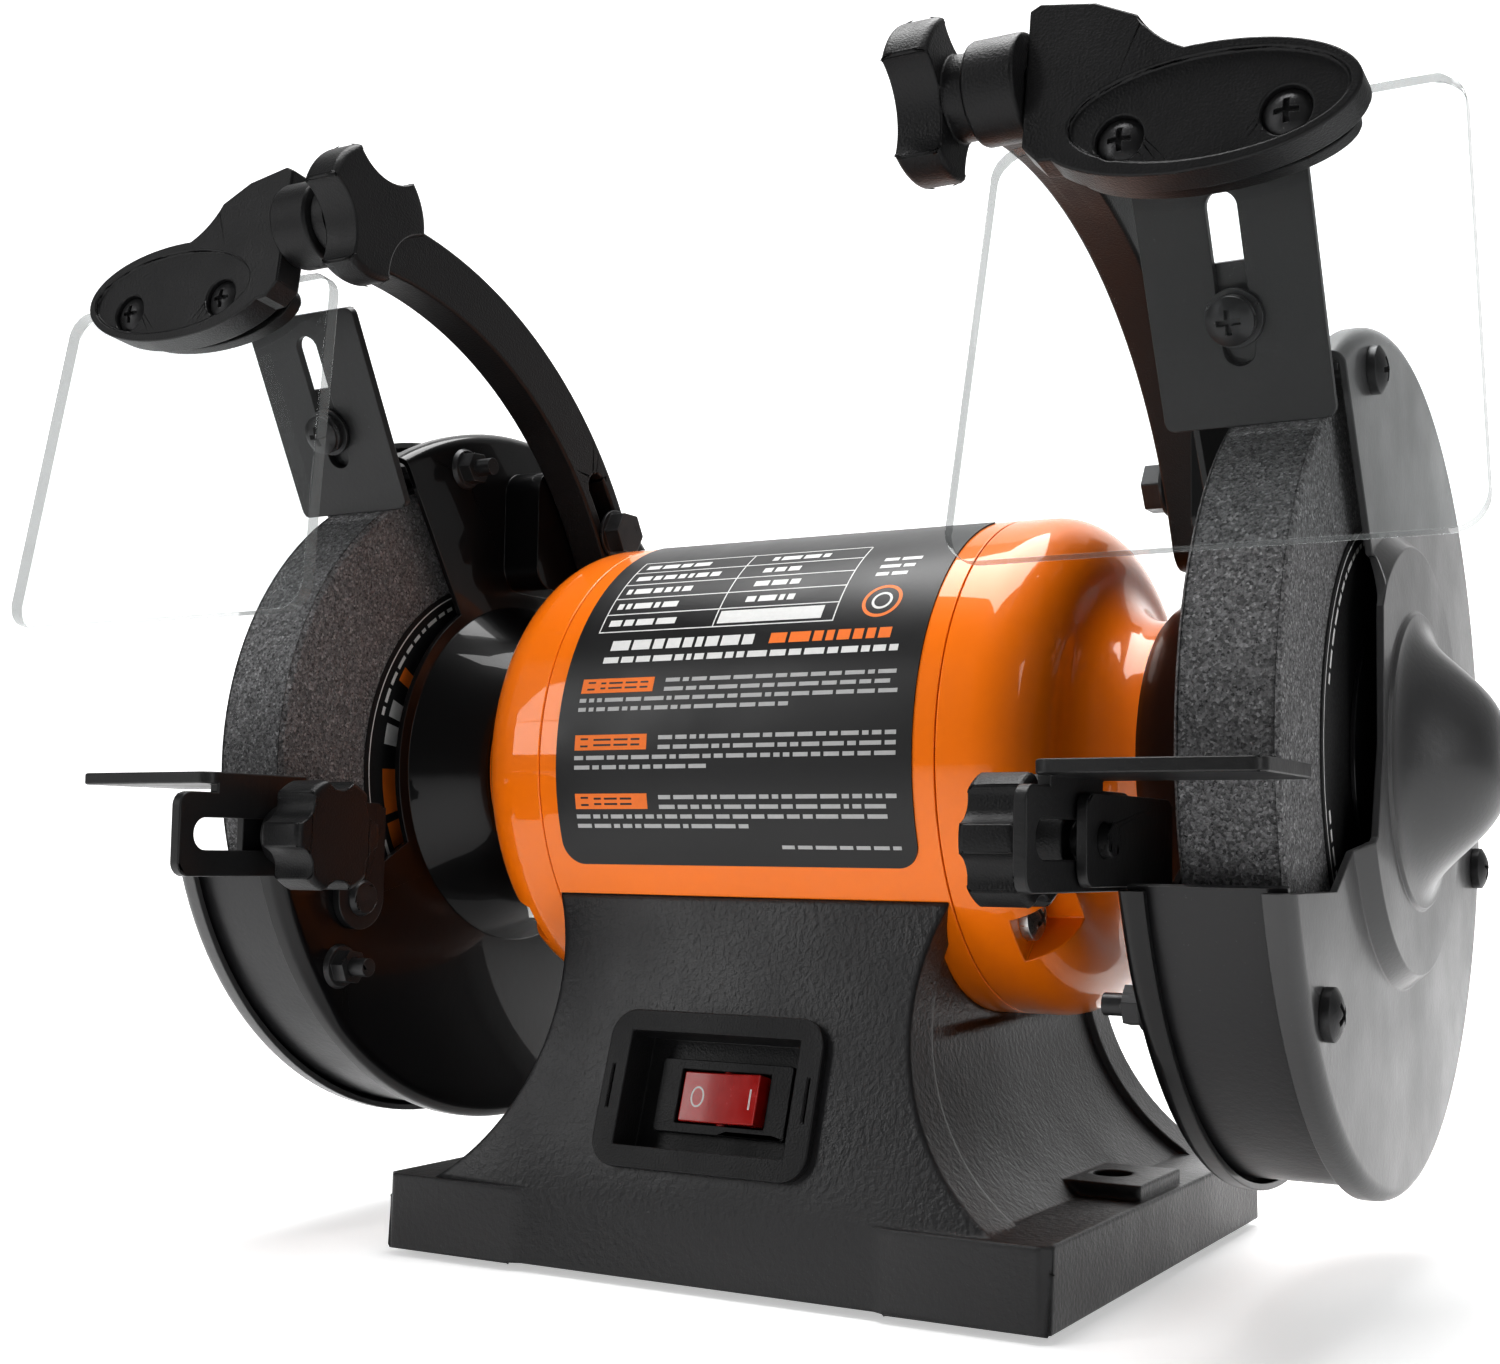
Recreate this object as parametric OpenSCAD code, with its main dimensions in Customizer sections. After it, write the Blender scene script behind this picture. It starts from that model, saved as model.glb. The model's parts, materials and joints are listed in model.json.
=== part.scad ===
// Six inch bench grinder: a motor on a pedestal turns one arbor with a guarded wheel at each end.
// The origin is the middle of the two bench bolts, on the bench. +X runs along the arbor, +Y to the
// back and +Z up. Each piece of the right end is drawn once, and its left twin is a mirror image.

/* [Base] */
// Length of the foot along the arbor
base_len = 158; // [150:1:200]
// Depth of the foot from front to back
base_depth = 134; // [124:1:170]
// Height of the foot's rim
foot_h = 17.5; // [12:0.5:22]
// Wall of the cast pedestal
base_wall = 4; // [3:0.5:6]
// Narrowest width of the pedestal
waist_w = 87; // [76:1:100]
// Height of the pedestal's narrowest place
waist_z = 58; // [50:1:64]
// Radius of the concave sides of the pedestal
side_r = 47; // [42:1:56]
// Distance between the two bench bolt holes
bolt_spacing = 132; // [124:1:136]
// Radius of a bench bolt hole
bolt_hole_r = 4.25; // [3:0.05:5]
// How far the rubber feet hold the rim off the bench
feet_proud = 1.5; // [0.5:0.1:3]

/* [Motor] */
// Height of the arbor above the bench
arbor_z = 109; // [102:0.5:125]
// Outside radius of the motor shell
shell_r = 55; // [50:0.5:58]
// Half the length of the motor shell
shell_half = 49; // [46:0.5:54]
// Wall of the motor shell
shell_wall = 3; // [2:0.5:4]
// Distance from the middle to the outer end of each end bell's neck
bell_end = 82.6; // [80:0.1:86]
// Radius of the end bell's neck
neck_r = 31; // [28:0.5:34]
// Half the length of the stator core
core_half = 27; // [20:1:28]
// Inside radius of the stator core
bore_r = 30.2; // [26:0.1:34]

/* [Wheels] */
// Diameter of a grinding wheel
wheel_d = 152.4; // [130:0.1:154]
// Thickness of a grinding wheel
wheel_w = 19.05; // [12:0.05:20]
// Distance from the middle to the motor side of each wheel
wheel_x = 105.5; // [105:0.1:108]
// Diameter of the arbor in the wheel
arbor_d = 12.7; // [10:0.1:14]
// Radius of the paper discs on the wheel
blotter_r = 49.5; // [36:0.5:54]
// Radius of the clamping flanges
flange_r = 29; // [22:0.5:31]

/* [Guards] */
// Outside radius of the guards
guard_r = 88; // [87:0.5:96]
// Distance from the middle to the motor side of each guard
guard_in = 97.5; // [97:0.5:98.5]
// Gap between the outer side of the wheel and the outer cover
cover_gap = 4.45; // [4:0.05:9.5]
// Thickness of the guard sheet
sheet = 1.5; // [1:0.1:2]
// Height of the domed cap over the arbor nut
dome_h = 16; // [12:0.5:22]
// Radius of the circle that the cover screws lie on
screw_ring_r = 79.5; // [79:0.1:80]

/* [Eye shields] */
// Width of a clear eye shield
shield_w = 82; // [70:1:90]
// Height of a clear eye shield
shield_h = 76; // [60:1:90]
// Thickness of a clear eye shield
shield_t = 3; // [2:0.5:4]
// Tilt of the eye shields from upright
shield_tilt = 8; // [0:1:15]
// Width of a shield arm across the arbor
arm_t = 10; // [8:0.5:12]
// Depth of a shield arm in its curve
arm_d = 13.5; // [12:0.5:16]

/* [Tool rests] */
// Depth of a tool rest's table, front to back
rest_depth = 30; // [24:1:36]
// Gap between a tool rest and its wheel
rest_gap = 3; // [2:0.5:5]
// Height of the top of the tool rests
rest_z = 104.5; // [102:0.5:108]
// Thickness of the tool rest's plate
rest_t = 2.5; // [2:0.1:3]

/* [Spark arresters] */
// Width of a spark arrester
arrester_w = 33; // [28:1:34]
// Length of a spark arrester
arrester_l = 48.5; // [44:1:56]
// Lean of a spark arrester from upright
arrester_lean = 26; // [20:1:28]

/* [Hidden] */
$fn = 64;

// Clearances
touch = 0.02;      // between pieces that are clamped together
seat = 0.1;        // between a piece and the seat it is fitted in
run = 0.05;        // radial clearance of a pin that turns in its hole
part_gap = 0.3;    // between pieces that move past each other
eps = 0.01;        // how far a cut runs past the face it opens

// Outer side of the guards
guard_out = wheel_x + wheel_w + cover_gap;

// Pedestal
waist = waist_w / 2;
side_cx = waist + side_r;
front_foot = base_depth / 2 - 2;
saddle_r = shell_r + seat;
saddle_drop = 0.51 * shell_r;
saddle_top = arbor_z - saddle_drop;
front_top = sqrt(shell_r * shell_r - saddle_drop * saddle_drop) - 1.3;
saddle_low = arbor_z - saddle_r;
saddle_x = core_half + 6.5;
foot_x = base_len / 2 - 16;
foot_y = base_depth / 2 - 16;
foot_w = 34;
pad_w = 22;
pad_d = 26;
pad_h = 3;
boss_r = 7;
plate_t = 1.5;

// Switch
switch_z = 39;
frame_w = 52;
frame_h = 33;
frame_r = 6;
frame_proud = 2;
recess_w = 41;
recess_h = 24;
recess_d = 6.5;
pocket_wall = 2;
bezel_w = 32;
bezel_h = 15.4;
bezel_t = 1.6;
bezel_side = 1.7;
rocker_w = 21;
rocker_h = 10.5;
rocker_gap = 0.4;
rocker_tilt = 7;
pin_r = 1.2;
pin_l = 12.6;
front_lean = atan((front_foot - front_top) / (saddle_top - foot_h));

// Motor inside
bell_round = 13.5;
bell_cove = 10.5;
bell_step = 56;
bolt_ring_r = shell_r - 8;
bolt_angles = [44, 224];
bolt_r = 2.4;
pocket_x = bell_step + 4.2;
pocket_w = 11.5;
bearing_x = 65;
bearing_w = 11;
bearing_r = 17.5;
journal_r = 7.5;
ball_r = 2.9;
ball_ring_r = 12.5;
ball_count = 8;
rotor_r = bore_r - 0.5;
winding_in = bore_r + 3;
winding_out = shell_r - 12.5;
winding_l = 14;

// Wheel mounting
wheel_r = wheel_d / 2;
arbor_r = arbor_d / 2;
blotter_t = 0.4;
flange_t = 3.8;
flange_in = wheel_x - blotter_t - flange_t;
wheel_out = wheel_x + wheel_w;
flange_out = wheel_out + blotter_t;
nut_af = 19;
nut_t = 7.5;
arbor_end = flange_out + flange_t + nut_t + 3;

// Guards
lip_w = 5.5;
lip_round = 3;
band_r = guard_r - 2.5;
dish_r = 45;
hub_ring = 43.5;
hub_step = 3.5;
ring_in = 30.5;
ring_step = 0.8;
dome_r = 29;
dome_top = 3;
dish_top_r = 34;
dish_x = bell_end + 0.1;
open_top = [-47.5, 75.5];
open_hub = [[-25, 38.5], [-32, 28], [-32.5, 2], [-38, -16]];
open_low = [-55, -26];
open_front = -guard_r - 2;
ring_from = 180 + asin(-open_low[1] / guard_r);
ring_to = 90 + atan(-open_top[0] / open_top[1]);
screw_angles = [108.5, 216.3, 344];
cover_screw_r = 2.1;
screw_r = 2.4;
pad_x = 86.8;
pad_y = [-9, 25];
pad_z = [47, 78];

// Eye shield arms: the curve of the arm in Y and Z
arm_x = pad_x - part_gap;
arm_in = arm_x - arm_t;
arm_y = -80;
arm_z = 121.5;
arm_r = 102.5;
arm_bolt_a = 29.3;
arm_slot_a = 37;
arm_low_a = 22;
arm_high_a = 98;
pivot_y = -95;
pivot_z = 223.5;
eye_r = 9.2;
stud_r = 3;
arm_bolt_y = arm_y + arm_r * cos(arm_bolt_a);
arm_bolt_z = arm_z + arm_r * sin(arm_bolt_a);

// Shield clamp, drawn from the pivot in a plane that tilts with the shield
clamp_x = arm_x + part_gap;
riser_w = 12.5;
riser_top = 13;
riser_low = -17;
oval_x = 30.5;
oval_z = -12;
oval_a = 28;
oval_b = 11.5;
oval_step = 2.2;
clamp_t = 7;
back_t = 3;
shield_y = 3;
shield_top = -9.5;
shield_x = 78;
clamp_screws = [17.5, 46];
clamp_head_r = 4.2;
clamp_head_y = 3.3;
clamp_screw_z = -15;

// Spark arrester, drawn in its own leaning plane from its screw
arrester_x = 111.5;
arrester_y = -56;
arrester_z = 189.5;
arrester_t = 2;
arrester_low = -20.5;
arrester_slot = [-6, 20];
arrester_slot_r = 3;
tab_w = 24;
tab_top = 10;
tab_low = -14;

// Tool rests
rest_back = -wheel_r - rest_gap;
rest_front = rest_back - rest_depth;
leg_front = rest_front - 7;
leg_back = rest_back + 11;
leg_z = [82.6, 100.2];
rest_slot_z = 91.5;
rest_slot_r = 3.4;
rest_bolt_y = rest_back - 9;
bracket_t = 2;
bracket_x = guard_in - bracket_t;
rest_in = bracket_x - 0.4 - rest_t;
rest_out = 131.5;
knob_hub = 6;
rivet_y = -59.5;
rivet_z = 77.5;
bracket_w = 14.6;
rest_knob_r = 12.4;
rest_knob_lobes = 6;
rest_knob_t = 11;
shield_knob_r = 14.5;
shield_knob_t = 9;

// Turns a drawing in the XY plane so that it lies in YZ and its height runs along +X
module along_x(x = 0, y = 0, z = 0) {
    translate([x, y, z]) rotate([90, 0, 90]) children();
}

// Turns a drawing in the XY plane so that it lies in XZ and its height runs along -Y
module along_y(y = 0) {
    translate([0, y, 0]) rotate([90, 0, 0]) children();
}

module both_ends() {
    children();
    mirror([1, 0, 0]) children();
}

module left() {
    mirror([1, 0, 0]) children();
}

// Puts a drawing in the pivoted plane of the eye shield
module shield_plane() {
    translate([0, pivot_y, pivot_z]) rotate([-shield_tilt, 0, 0]) children();
}

// Puts a drawing in the leaning plane of the spark arrester: X across, Z up the plate, -Y out
module arrester_plane() {
    translate([arrester_x, arrester_y, arrester_z]) rotate([arrester_lean, 0, 0]) children();
}

// Rounded rectangle between two corners
module rounded_rect(low, high, r) {
    w = high[0] - low[0];
    h = high[1] - low[1];
    translate([low[0] + r, low[1]]) square([w - 2 * r, h]);
    translate([low[0], low[1] + r]) square([w, h - 2 * r]);
    for (x = [low[0] + r, high[0] - r], y = [low[1] + r, high[1] - r]) translate([x, y]) circle(r = r);
}

// Straight slot between two points on the Y axis
module slot_y(low, high, r) {
    translate([-r, low]) square([2 * r, high - low]);
    for (y = [low, high]) translate([0, y]) circle(r = r);
}

// Pan head of a cross-recess screw, standing on z = 0
module pan_head(r, h) {
    difference() {
        rotate_extrude() intersection() {
            square([r, h]);
            translate([0, h - 1.7 * r]) circle(r = 1.7 * r);
            translate([0, h / 2 - r * 0.1]) circle(r = r * 1.02);
        }
        for (a = [0, 90]) rotate([0, 0, a]) {
            translate([-r * 0.5, -r * 0.11, h * 0.45]) cube([r, r * 0.22, h]);
        }
    }
}

module hex(af, h) {
    cylinder(r = af / sqrt(3), h = h, $fn = 6);
}

// Points of an arc from one angle to another
function arc(cx, cy, r, from, to, n = 14) =
    [for (i = [0:n]) let(a = from + (to - from) * i / n) [cx + r * cos(a), cy + r * sin(a)]];

// Points of an ellipse
function oval(cx, cy, a, b, n = 72) =
    [for (i = [0:n - 1]) [cx + a * cos(360 * i / n), cy + b * sin(360 * i / n)]];

// Knob with rounded flutes cut in its rim
module fluted_knob(r, lobes, flute_r, flute_at, h) {
    difference() {
        rotate_extrude() {
            square([r - 1.5, h]);
            translate([0, 1.5]) square([r, h - 3]);
            for (z = [1.5, h - 1.5]) translate([r - 1.5, z]) circle(r = 1.5, $fn = 32);
        }
        for (i = [0:lobes - 1]) rotate([0, 0, 360 * (i + 0.5) / lobes]) {
            translate([flute_at, 0, -eps]) cylinder(r = flute_r, h = h + 2 * eps);
        }
    }
}

// ---------- Base ----------

// Front view of the pedestal, in X and Z
module pedestal_front(inset = 0) {
    top = arbor_z;
    difference() {
        translate([-base_len / 2 + inset, 0]) square([base_len - 2 * inset, top]);
        for (s = [-1, 1]) translate([s * side_cx, waist_z]) circle(r = side_r + inset, $fn = 128);
        for (s = [-1, 1]) translate([s * (side_cx + side_r) - side_r, waist_z]) square([2 * side_r, top]);
    }
}

// Side view of the pedestal, in Y and Z
module pedestal_side(inset = 0) {
    polygon([
        [-front_foot - 1 + inset, 0], [-front_foot + inset, foot_h], [-front_top + inset, saddle_top],
        [-front_top + inset, saddle_top + 20], [front_top - inset, saddle_top + 20],
        [front_top - inset, saddle_top], [front_foot - inset, foot_h], [front_foot + 1 - inset, 0],
    ]);
}

module pedestal(inset = 0) {
    intersection() {
        along_y(base_depth) linear_extrude(2 * base_depth) pedestal_front(inset);
        along_x(-base_len) linear_extrude(2 * base_len) pedestal_side(inset);
    }
}

// Raised rib that follows the front and back edges of each concave side
module side_panels() {
    for (s = [-1, 1]) difference() {
        intersection() {
            translate([s * side_cx, 0, waist_z]) rotate([90, 0, 0])
                cylinder(r = side_r + 1.6, h = 2 * front_foot, center = true, $fn = 128);
            along_x(-base_len) linear_extrude(2 * base_len) polygon([
                [-front_foot + 13, foot_h], [-front_top + 11, saddle_top + 8],
                [front_top - 11, saddle_top + 8], [front_foot - 13, foot_h],
            ]);
            translate([s * (side_cx - side_r / 2), 0, arbor_z / 2 + foot_h])
                cube([side_r + 8, base_depth, arbor_z], center = true);
        }
        translate([s * side_cx, 0, waist_z]) rotate([90, 0, 0])
            cylinder(r = side_r - 1, h = 3 * front_foot, center = true, $fn = 128);
    }
}

// One end of the foot, with the wedge that runs into the front of the pedestal
module foot_end() {
    half = base_len / 2;
    side = base_depth / 2;
    difference() {
        union() {
            translate([half - foot_w, -side, feet_proud]) cube([foot_w, 2 * side, foot_h - feet_proud]);
            for (s = [-1, 1]) translate([0, s * side, 0]) mirror([0, s > 0 ? 1 : 0, 0])
                linear_extrude(foot_h) polygon([
                    [half - foot_w, 0], [half - foot_w - 9, 3.5], [half - foot_w, 7],
                ]);
        }
        for (s = [-1, 1]) translate([half, s * side, -eps]) rotate([0, 0, 45])
            cube([3, 3, 3 * foot_h], center = true);
        below_rim();
    }
}

// Everything below the rim of the pedestal
module below_rim() {
    translate([0, 0, -eps]) cube([2 * base_len, 2 * base_depth, 2 * feet_proud], center = true);
}

module foot_bore(r, low, high) {
    translate([bolt_spacing / 2, 0, low]) cylinder(r = r, h = high - low);
}

module base() {
    cavity_top = saddle_low - base_wall;
    color("#2b2c2e") difference() {
        union() {
            difference() {
                union() {
                    difference() {
                        pedestal();
                        below_rim();
                    }
                    both_ends() foot_end();
                }
                side_panels();
                intersection() {
                    pedestal(base_wall);
                    translate([0, 0, cavity_top / 2 + plate_t])
                        cube([2 * base_len, 2 * base_depth, cavity_top], center = true);
                }
                both_ends() translate([base_len / 2 - foot_w - 14, -base_depth / 2 + base_wall, plate_t])
                    cube([foot_w + 14 - base_wall, base_depth - 2 * base_wall, foot_h - base_wall - plate_t]);
                translate([0, 0, plate_t]) cube([
                    base_len - 2 * base_wall, 2 * (front_foot - base_wall), 2 * feet_proud + plate_t,
                ], center = true);
            }
            both_ends() {
                foot_bore(boss_r, 0, foot_h + pad_h);
                translate([bolt_spacing / 2 - pad_w / 2, -pad_d / 2, foot_h - base_wall])
                    cube([pad_w, pad_d, base_wall + pad_h]);
                for (y = [-1, 1]) translate([foot_x, y * foot_y, feet_proud + plate_t])
                    cylinder(r = 6, h = foot_h - feet_proud - plate_t - 1);
            }
        }
        along_x(-base_len, 0, arbor_z) cylinder(r = saddle_r, h = 2 * base_len, $fn = 128);
        translate([-base_len, -base_depth, arbor_z]) cube([2 * base_len, 2 * base_depth, saddle_r]);
        both_ends() foot_bore(bolt_hole_r, -eps, foot_h + pad_h + eps);
        switch_place() switch_cut(seat);
        gland_place() cylinder(r = 8 + seat, h = 40, center = true);
        for (x = [-1, 1]) translate([x * saddle_x, 0, 0]) cylinder(r = 3.2, h = arbor_z);
        both_ends() for (y = [-1, 1])
            translate([foot_x, y * foot_y, 0]) cylinder(r = 2.1, h = foot_h - 3);
    }
}

// Sheet that closes the underside, cut round the two bolt bosses
module base_plate() {
    color("#3a3b3d") translate([0, 0, feet_proud]) difference() {
        translate([0, 0, plate_t / 2])
            cube([base_len - 2 * base_wall - 1, 2 * (front_foot - base_wall) - 1, plate_t], center = true);
        both_ends() translate([bolt_spacing / 2, 0, -eps]) cylinder(r = boss_r + 0.5, h = 3 * plate_t);
        both_ends() for (y = [-1, 1])
            translate([foot_x, y * foot_y, -eps]) cylinder(r = 2.3, h = 3 * plate_t);
    }
}

module rubber_feet() {
    color("#151515") both_ends() for (y = [-1, 1])
        translate([foot_x, y * foot_y, 0]) difference() {
            cylinder(r = 8, h = feet_proud - touch);
            translate([0, 0, -eps]) cylinder(r = 4.6, h = 2 * feet_proud);
        }
}

module base_screws() {
    color("#9a9c9f") both_ends() for (y = [-1, 1])
        translate([foot_x, y * foot_y, feet_proud]) {
            translate([0, 0, -touch]) mirror([0, 0, 1]) pan_head(4, feet_proud - 0.3);
            translate([0, 0, -0.5]) cylinder(r = 2.05, h = 9);
        }
}

module saddle_bolts() {
    inside = arbor_z - shell_r + shell_wall;
    color("#b5b7ba") for (x = [-saddle_x, saddle_x]) translate([x, 0, 0]) {
        translate([0, 0, saddle_low - base_wall - 4.6]) hex(10, 4.4);
        translate([0, 0, saddle_low - base_wall - 3])
            cylinder(r = 3, h = inside + 7 - saddle_low + base_wall);
        translate([0, 0, inside + 1]) difference() {
            hex(10, 4.2);
            translate([0, 0, -eps]) cylinder(r = 3.02, h = 6);
        }
    }
}

// ---------- Switch ----------

module switch_place() {
    y = -(front_foot - (switch_z - foot_h) * tan(front_lean));
    translate([0, y, switch_z]) rotate([-front_lean, 0, 0]) rotate([90, 0, 0]) children();
}

module switch_cut(gap) {
    translate([0, 0, -recess_d - pocket_wall - gap]) linear_extrude(recess_d + pocket_wall + 10)
        square([recess_w + 2 * pocket_wall + 2 * gap, recess_h + 2 * pocket_wall + 2 * gap], center = true);
}

// Frame and pocket that hold the switch below the face of the pedestal
module switch_housing() {
    color("#242527") switch_place() difference() {
        union() {
            difference() {
                translate([0, 0, touch]) linear_extrude(frame_proud)
                    rounded_rect([-frame_w / 2, -frame_h / 2], [frame_w / 2, frame_h / 2], frame_r);
                for (s = [-1, 1]) translate([s * (frame_w / 2 - 2.2), 0, frame_proud])
                    cube([0.6, 9, 1], center = true);
            }
            translate([0, 0, -recess_d - pocket_wall]) linear_extrude(recess_d + pocket_wall + 1)
                square([recess_w + 2 * pocket_wall, recess_h + 2 * pocket_wall], center = true);
        }
        translate([0, 0, -recess_d]) linear_extrude(recess_d + frame_proud + 1)
            square([recess_w, recess_h], center = true);
        translate([0, 0, -recess_d - pocket_wall - 1]) linear_extrude(pocket_wall + 2)
            square([bezel_w - 3, bezel_h - 2], center = true);
    }
}

module switch_body() {
    inner_w = rocker_w + 2 * rocker_gap;
    inner_h = rocker_h + 2 * rocker_gap;
    color("#1a1a1b") switch_place() translate([0, 0, -recess_d]) difference() {
        union() {
            translate([0, 0, touch]) linear_extrude(bezel_t)
                rounded_rect([-bezel_w / 2, -bezel_h / 2], [bezel_w / 2, bezel_h / 2], 0.8);
            translate([0, 0, -15]) linear_extrude(15.5)
                square([bezel_w - 2 * bezel_side, bezel_h - 2.4], center = true);
            for (x = [-9, 0, 9]) translate([x - 0.4, -2.4, -22]) cube([0.8, 4.8, 8]);
        }
        translate([0, 0, -8]) linear_extrude(20) square([inner_w, inner_h], center = true);
        rotate([90, 0, 0]) cylinder(r = pin_r + run, h = 2 * bezel_h, center = true);
    }
}

// Rocker, pressed at its O end, with a shallow V face that meets at its pin
module switch_rocker() {
    half = rocker_w / 2;
    color("#d8261a") switch_place() translate([0, 0, -recess_d]) rotate([0, -rocker_tilt, 0]) {
        rotate([90, 0, 0]) linear_extrude(rocker_h, center = true) polygon([
            [-half + 0.6, -3], [-half + 0.4, 2.6], [0, 1.9], [half - 0.4, 2.6], [half - 0.6, -3], [0, -4.6],
        ]);
        rotate([90, 0, 0]) cylinder(r = pin_r, h = pin_l, center = true);
    }
}

// Cable inlet in the back of the pedestal, with a bore for the supply cord
module gland_place() {
    y = front_foot - 8 * tan(front_lean);
    translate([-30, y, foot_h + 10]) rotate([front_lean, 0, 0]) rotate([-90, 0, 0]) children();
}

module cord_gland() {
    color("#1c1c1d") gland_place() difference() {
        union() {
            translate([0, 0, touch]) cylinder(r1 = 11.5, r2 = 10.5, h = 3);
            translate([0, 0, -base_wall - 4]) cylinder(r = 8, h = base_wall + 5);
            translate([0, 0, 2]) cylinder(r1 = 8.4, r2 = 6, h = 5.4);
        }
        translate([0, 0, -20]) cylinder(r = 4, h = 60);
    }
}

module capacitor() {
    color("#c9cacc") along_x(-10, 22, 22) {
        cylinder(r = 15, h = 52);
        for (y = [-5, 5]) translate([y - 0.4, -3, 51.5]) cube([0.8, 6, 7.5]);
    }
}

// ---------- Motor ----------

module motor_shell() {
    color("#f07818") difference() {
        along_x(-shell_half + 0.2, 0, arbor_z) difference() {
            cylinder(r = shell_r, h = 2 * shell_half - 0.4, $fn = 160);
            translate([0, 0, -1]) cylinder(r = shell_r - shell_wall, h = 2 * shell_half + 2, $fn = 160);
        }
        for (x = [-saddle_x, saddle_x]) translate([x, 0, arbor_z - shell_r - 1])
            cylinder(r = 3.2, h = shell_wall + 4);
    }
}

// Half section of an end bell, with X outwards as the radius and Y along the arbor
module bell_section() {
    inner = shell_r - 3.5;
    hollow = 36;
    web = 4;
    lip = bearing_r - 3;
    shoulder = bell_step + bell_round;
    polygon(concat(
        [[inner, shell_half], [shell_r, shell_half]],
        arc(shell_r - bell_round, bell_step, bell_round, 0, 90),
        arc(neck_r + bell_cove, shoulder + bell_cove, bell_cove, 270, 180),
        [
            [neck_r, bell_end], [lip, bell_end], [lip, bearing_x + bearing_w + touch],
            [bearing_r + touch, bearing_x + bearing_w + touch], [bearing_r + touch, bell_step + web],
            [hollow, bell_step + web], [hollow, bell_step], [inner, bell_step],
        ]
    ));
}

module end_bell() {
    color("#f07818") along_x(0, 0, arbor_z) {
        difference() {
            rotate_extrude($fn = 160) bell_section();
            bolt_ring() {
                translate([-pocket_w / 2, -pocket_w / 2, pocket_x])
                    cube([shell_r, pocket_w, bell_end - pocket_x]);
                translate([0, 0, shell_half]) cylinder(r = bolt_r + 0.2, h = bell_end);
            }
            for (a = [90:120:330]) rotate([0, 0, a]) {
                translate([25, 0, bell_end - 9]) cylinder(r = 2.1, h = 12);
            }
        }
        difference() {
            translate([0, 0, shell_half - 4]) cylinder(r = shell_r - shell_wall - seat, h = 7, $fn = 160);
            translate([0, 0, shell_half - 5]) cylinder(r = shell_r - 6, h = 9, $fn = 160);
            translate([0, 0, shell_half - 5]) bolt_ring() cylinder(r = 4, h = 9);
        }
    }
}

// Rating plate wrapped round the front of the shell
module label_plate() {
    color("#1d1e20") intersection() {
        along_x(-44, 0, arbor_z) difference() {
            cylinder(r = shell_r + 0.35, h = 88, $fn = 160);
            translate([0, 0, -1]) cylinder(r = shell_r + touch, h = 90, $fn = 160);
        }
        along_y(0) linear_extrude(2 * shell_r)
            rounded_rect([-44, arbor_z - saddle_drop + 5], [44, arbor_z + shell_r + 20], 5);
        translate([-shell_r, -2 * shell_r - 15, 0]) cube([2 * shell_r, 2 * shell_r, 2 * arbor_z]);
    }
}

module bolt_ring() {
    for (a = bolt_angles) rotate([0, 0, a]) translate([bolt_ring_r, 0, 0]) children();
}

module through_bolts() {
    color("#c3c5c8") along_x(0, 0, arbor_z) bolt_ring() {
        translate([0, 0, -pocket_x - 6]) cylinder(r = bolt_r, h = 2 * pocket_x + 7);
        translate([0, 0, pocket_x + touch]) pan_head(4.8, 3.6);
        translate([0, 0, -pocket_x - 4.5]) difference() {
            hex(8, 4.4);
            translate([0, 0, -eps]) cylinder(r = bolt_r + touch, h = 6);
        }
    }
}

module stator_core() {
    slots = 24;
    color("#8c8f93") along_x(-core_half, 0, arbor_z) difference() {
        cylinder(r = shell_r - shell_wall - seat, h = 2 * core_half, $fn = 128);
        translate([0, 0, -1]) cylinder(r = bore_r, h = 2 * core_half + 2, $fn = 128);
        bolt_ring() translate([0, 0, -1]) cylinder(r = bolt_r + 0.3, h = 2 * core_half + 2);
        for (i = [0:slots - 1]) rotate([0, 0, 360 * (i + 0.5) / slots])
            translate([bore_r - 1, -0.9, -1]) cube([8, 1.8, 2 * core_half + 2]);
    }
}

module stator_windings() {
    mid = (winding_in + winding_out) / 2;
    half = (winding_out - winding_in) / 2;
    color("#b4642a") both_ends() along_x(0, 0, arbor_z) rotate_extrude($fn = 96) {
        translate([winding_in, core_half + touch]) square([2 * half, winding_l - half]);
        translate([mid, core_half + winding_l - half]) circle(r = half, $fn = 48);
    }
}

module bearing_ring(inner, outer) {
    both_ends() along_x(0, 0, arbor_z) rotate_extrude($fn = 96) difference() {
        translate([inner, bearing_x]) square([outer - inner, bearing_w]);
        translate([ball_ring_r, bearing_x + bearing_w / 2]) circle(r = ball_r + run, $fn = 48);
    }
}

module bearing_outer_rings() {
    color("#d0d2d4") bearing_ring(ball_ring_r + 2, bearing_r);
}

module bearing_inner_rings() {
    color("#d0d2d4") bearing_ring(journal_r + touch, ball_ring_r - 2);
}

module bearing_balls() {
    color("#e4e5e6") both_ends() along_x(bearing_x + bearing_w / 2, 0, arbor_z)
        for (i = [0:ball_count - 1]) rotate([0, 0, 360 * i / ball_count])
            translate([ball_ring_r, 0, 0]) sphere(r = ball_r, $fn = 32);
}

module rotor_core() {
    color("#a5a8ab") along_x(0, 0, arbor_z) difference() {
        union() {
            cylinder(r = rotor_r, h = 2 * core_half, center = true, $fn = 128);
            cylinder(r = rotor_r - 4, h = 2 * core_half + 12, center = true, $fn = 128);
        }
        cylinder(r = journal_r + 1.5 + touch, h = 4 * core_half, center = true);
        for (a = [30:60:330]) rotate([0, 0, a])
            translate([rotor_r - 12, 0, 0]) cylinder(r = 3.5, h = 4 * core_half, center = true);
    }
}

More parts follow.
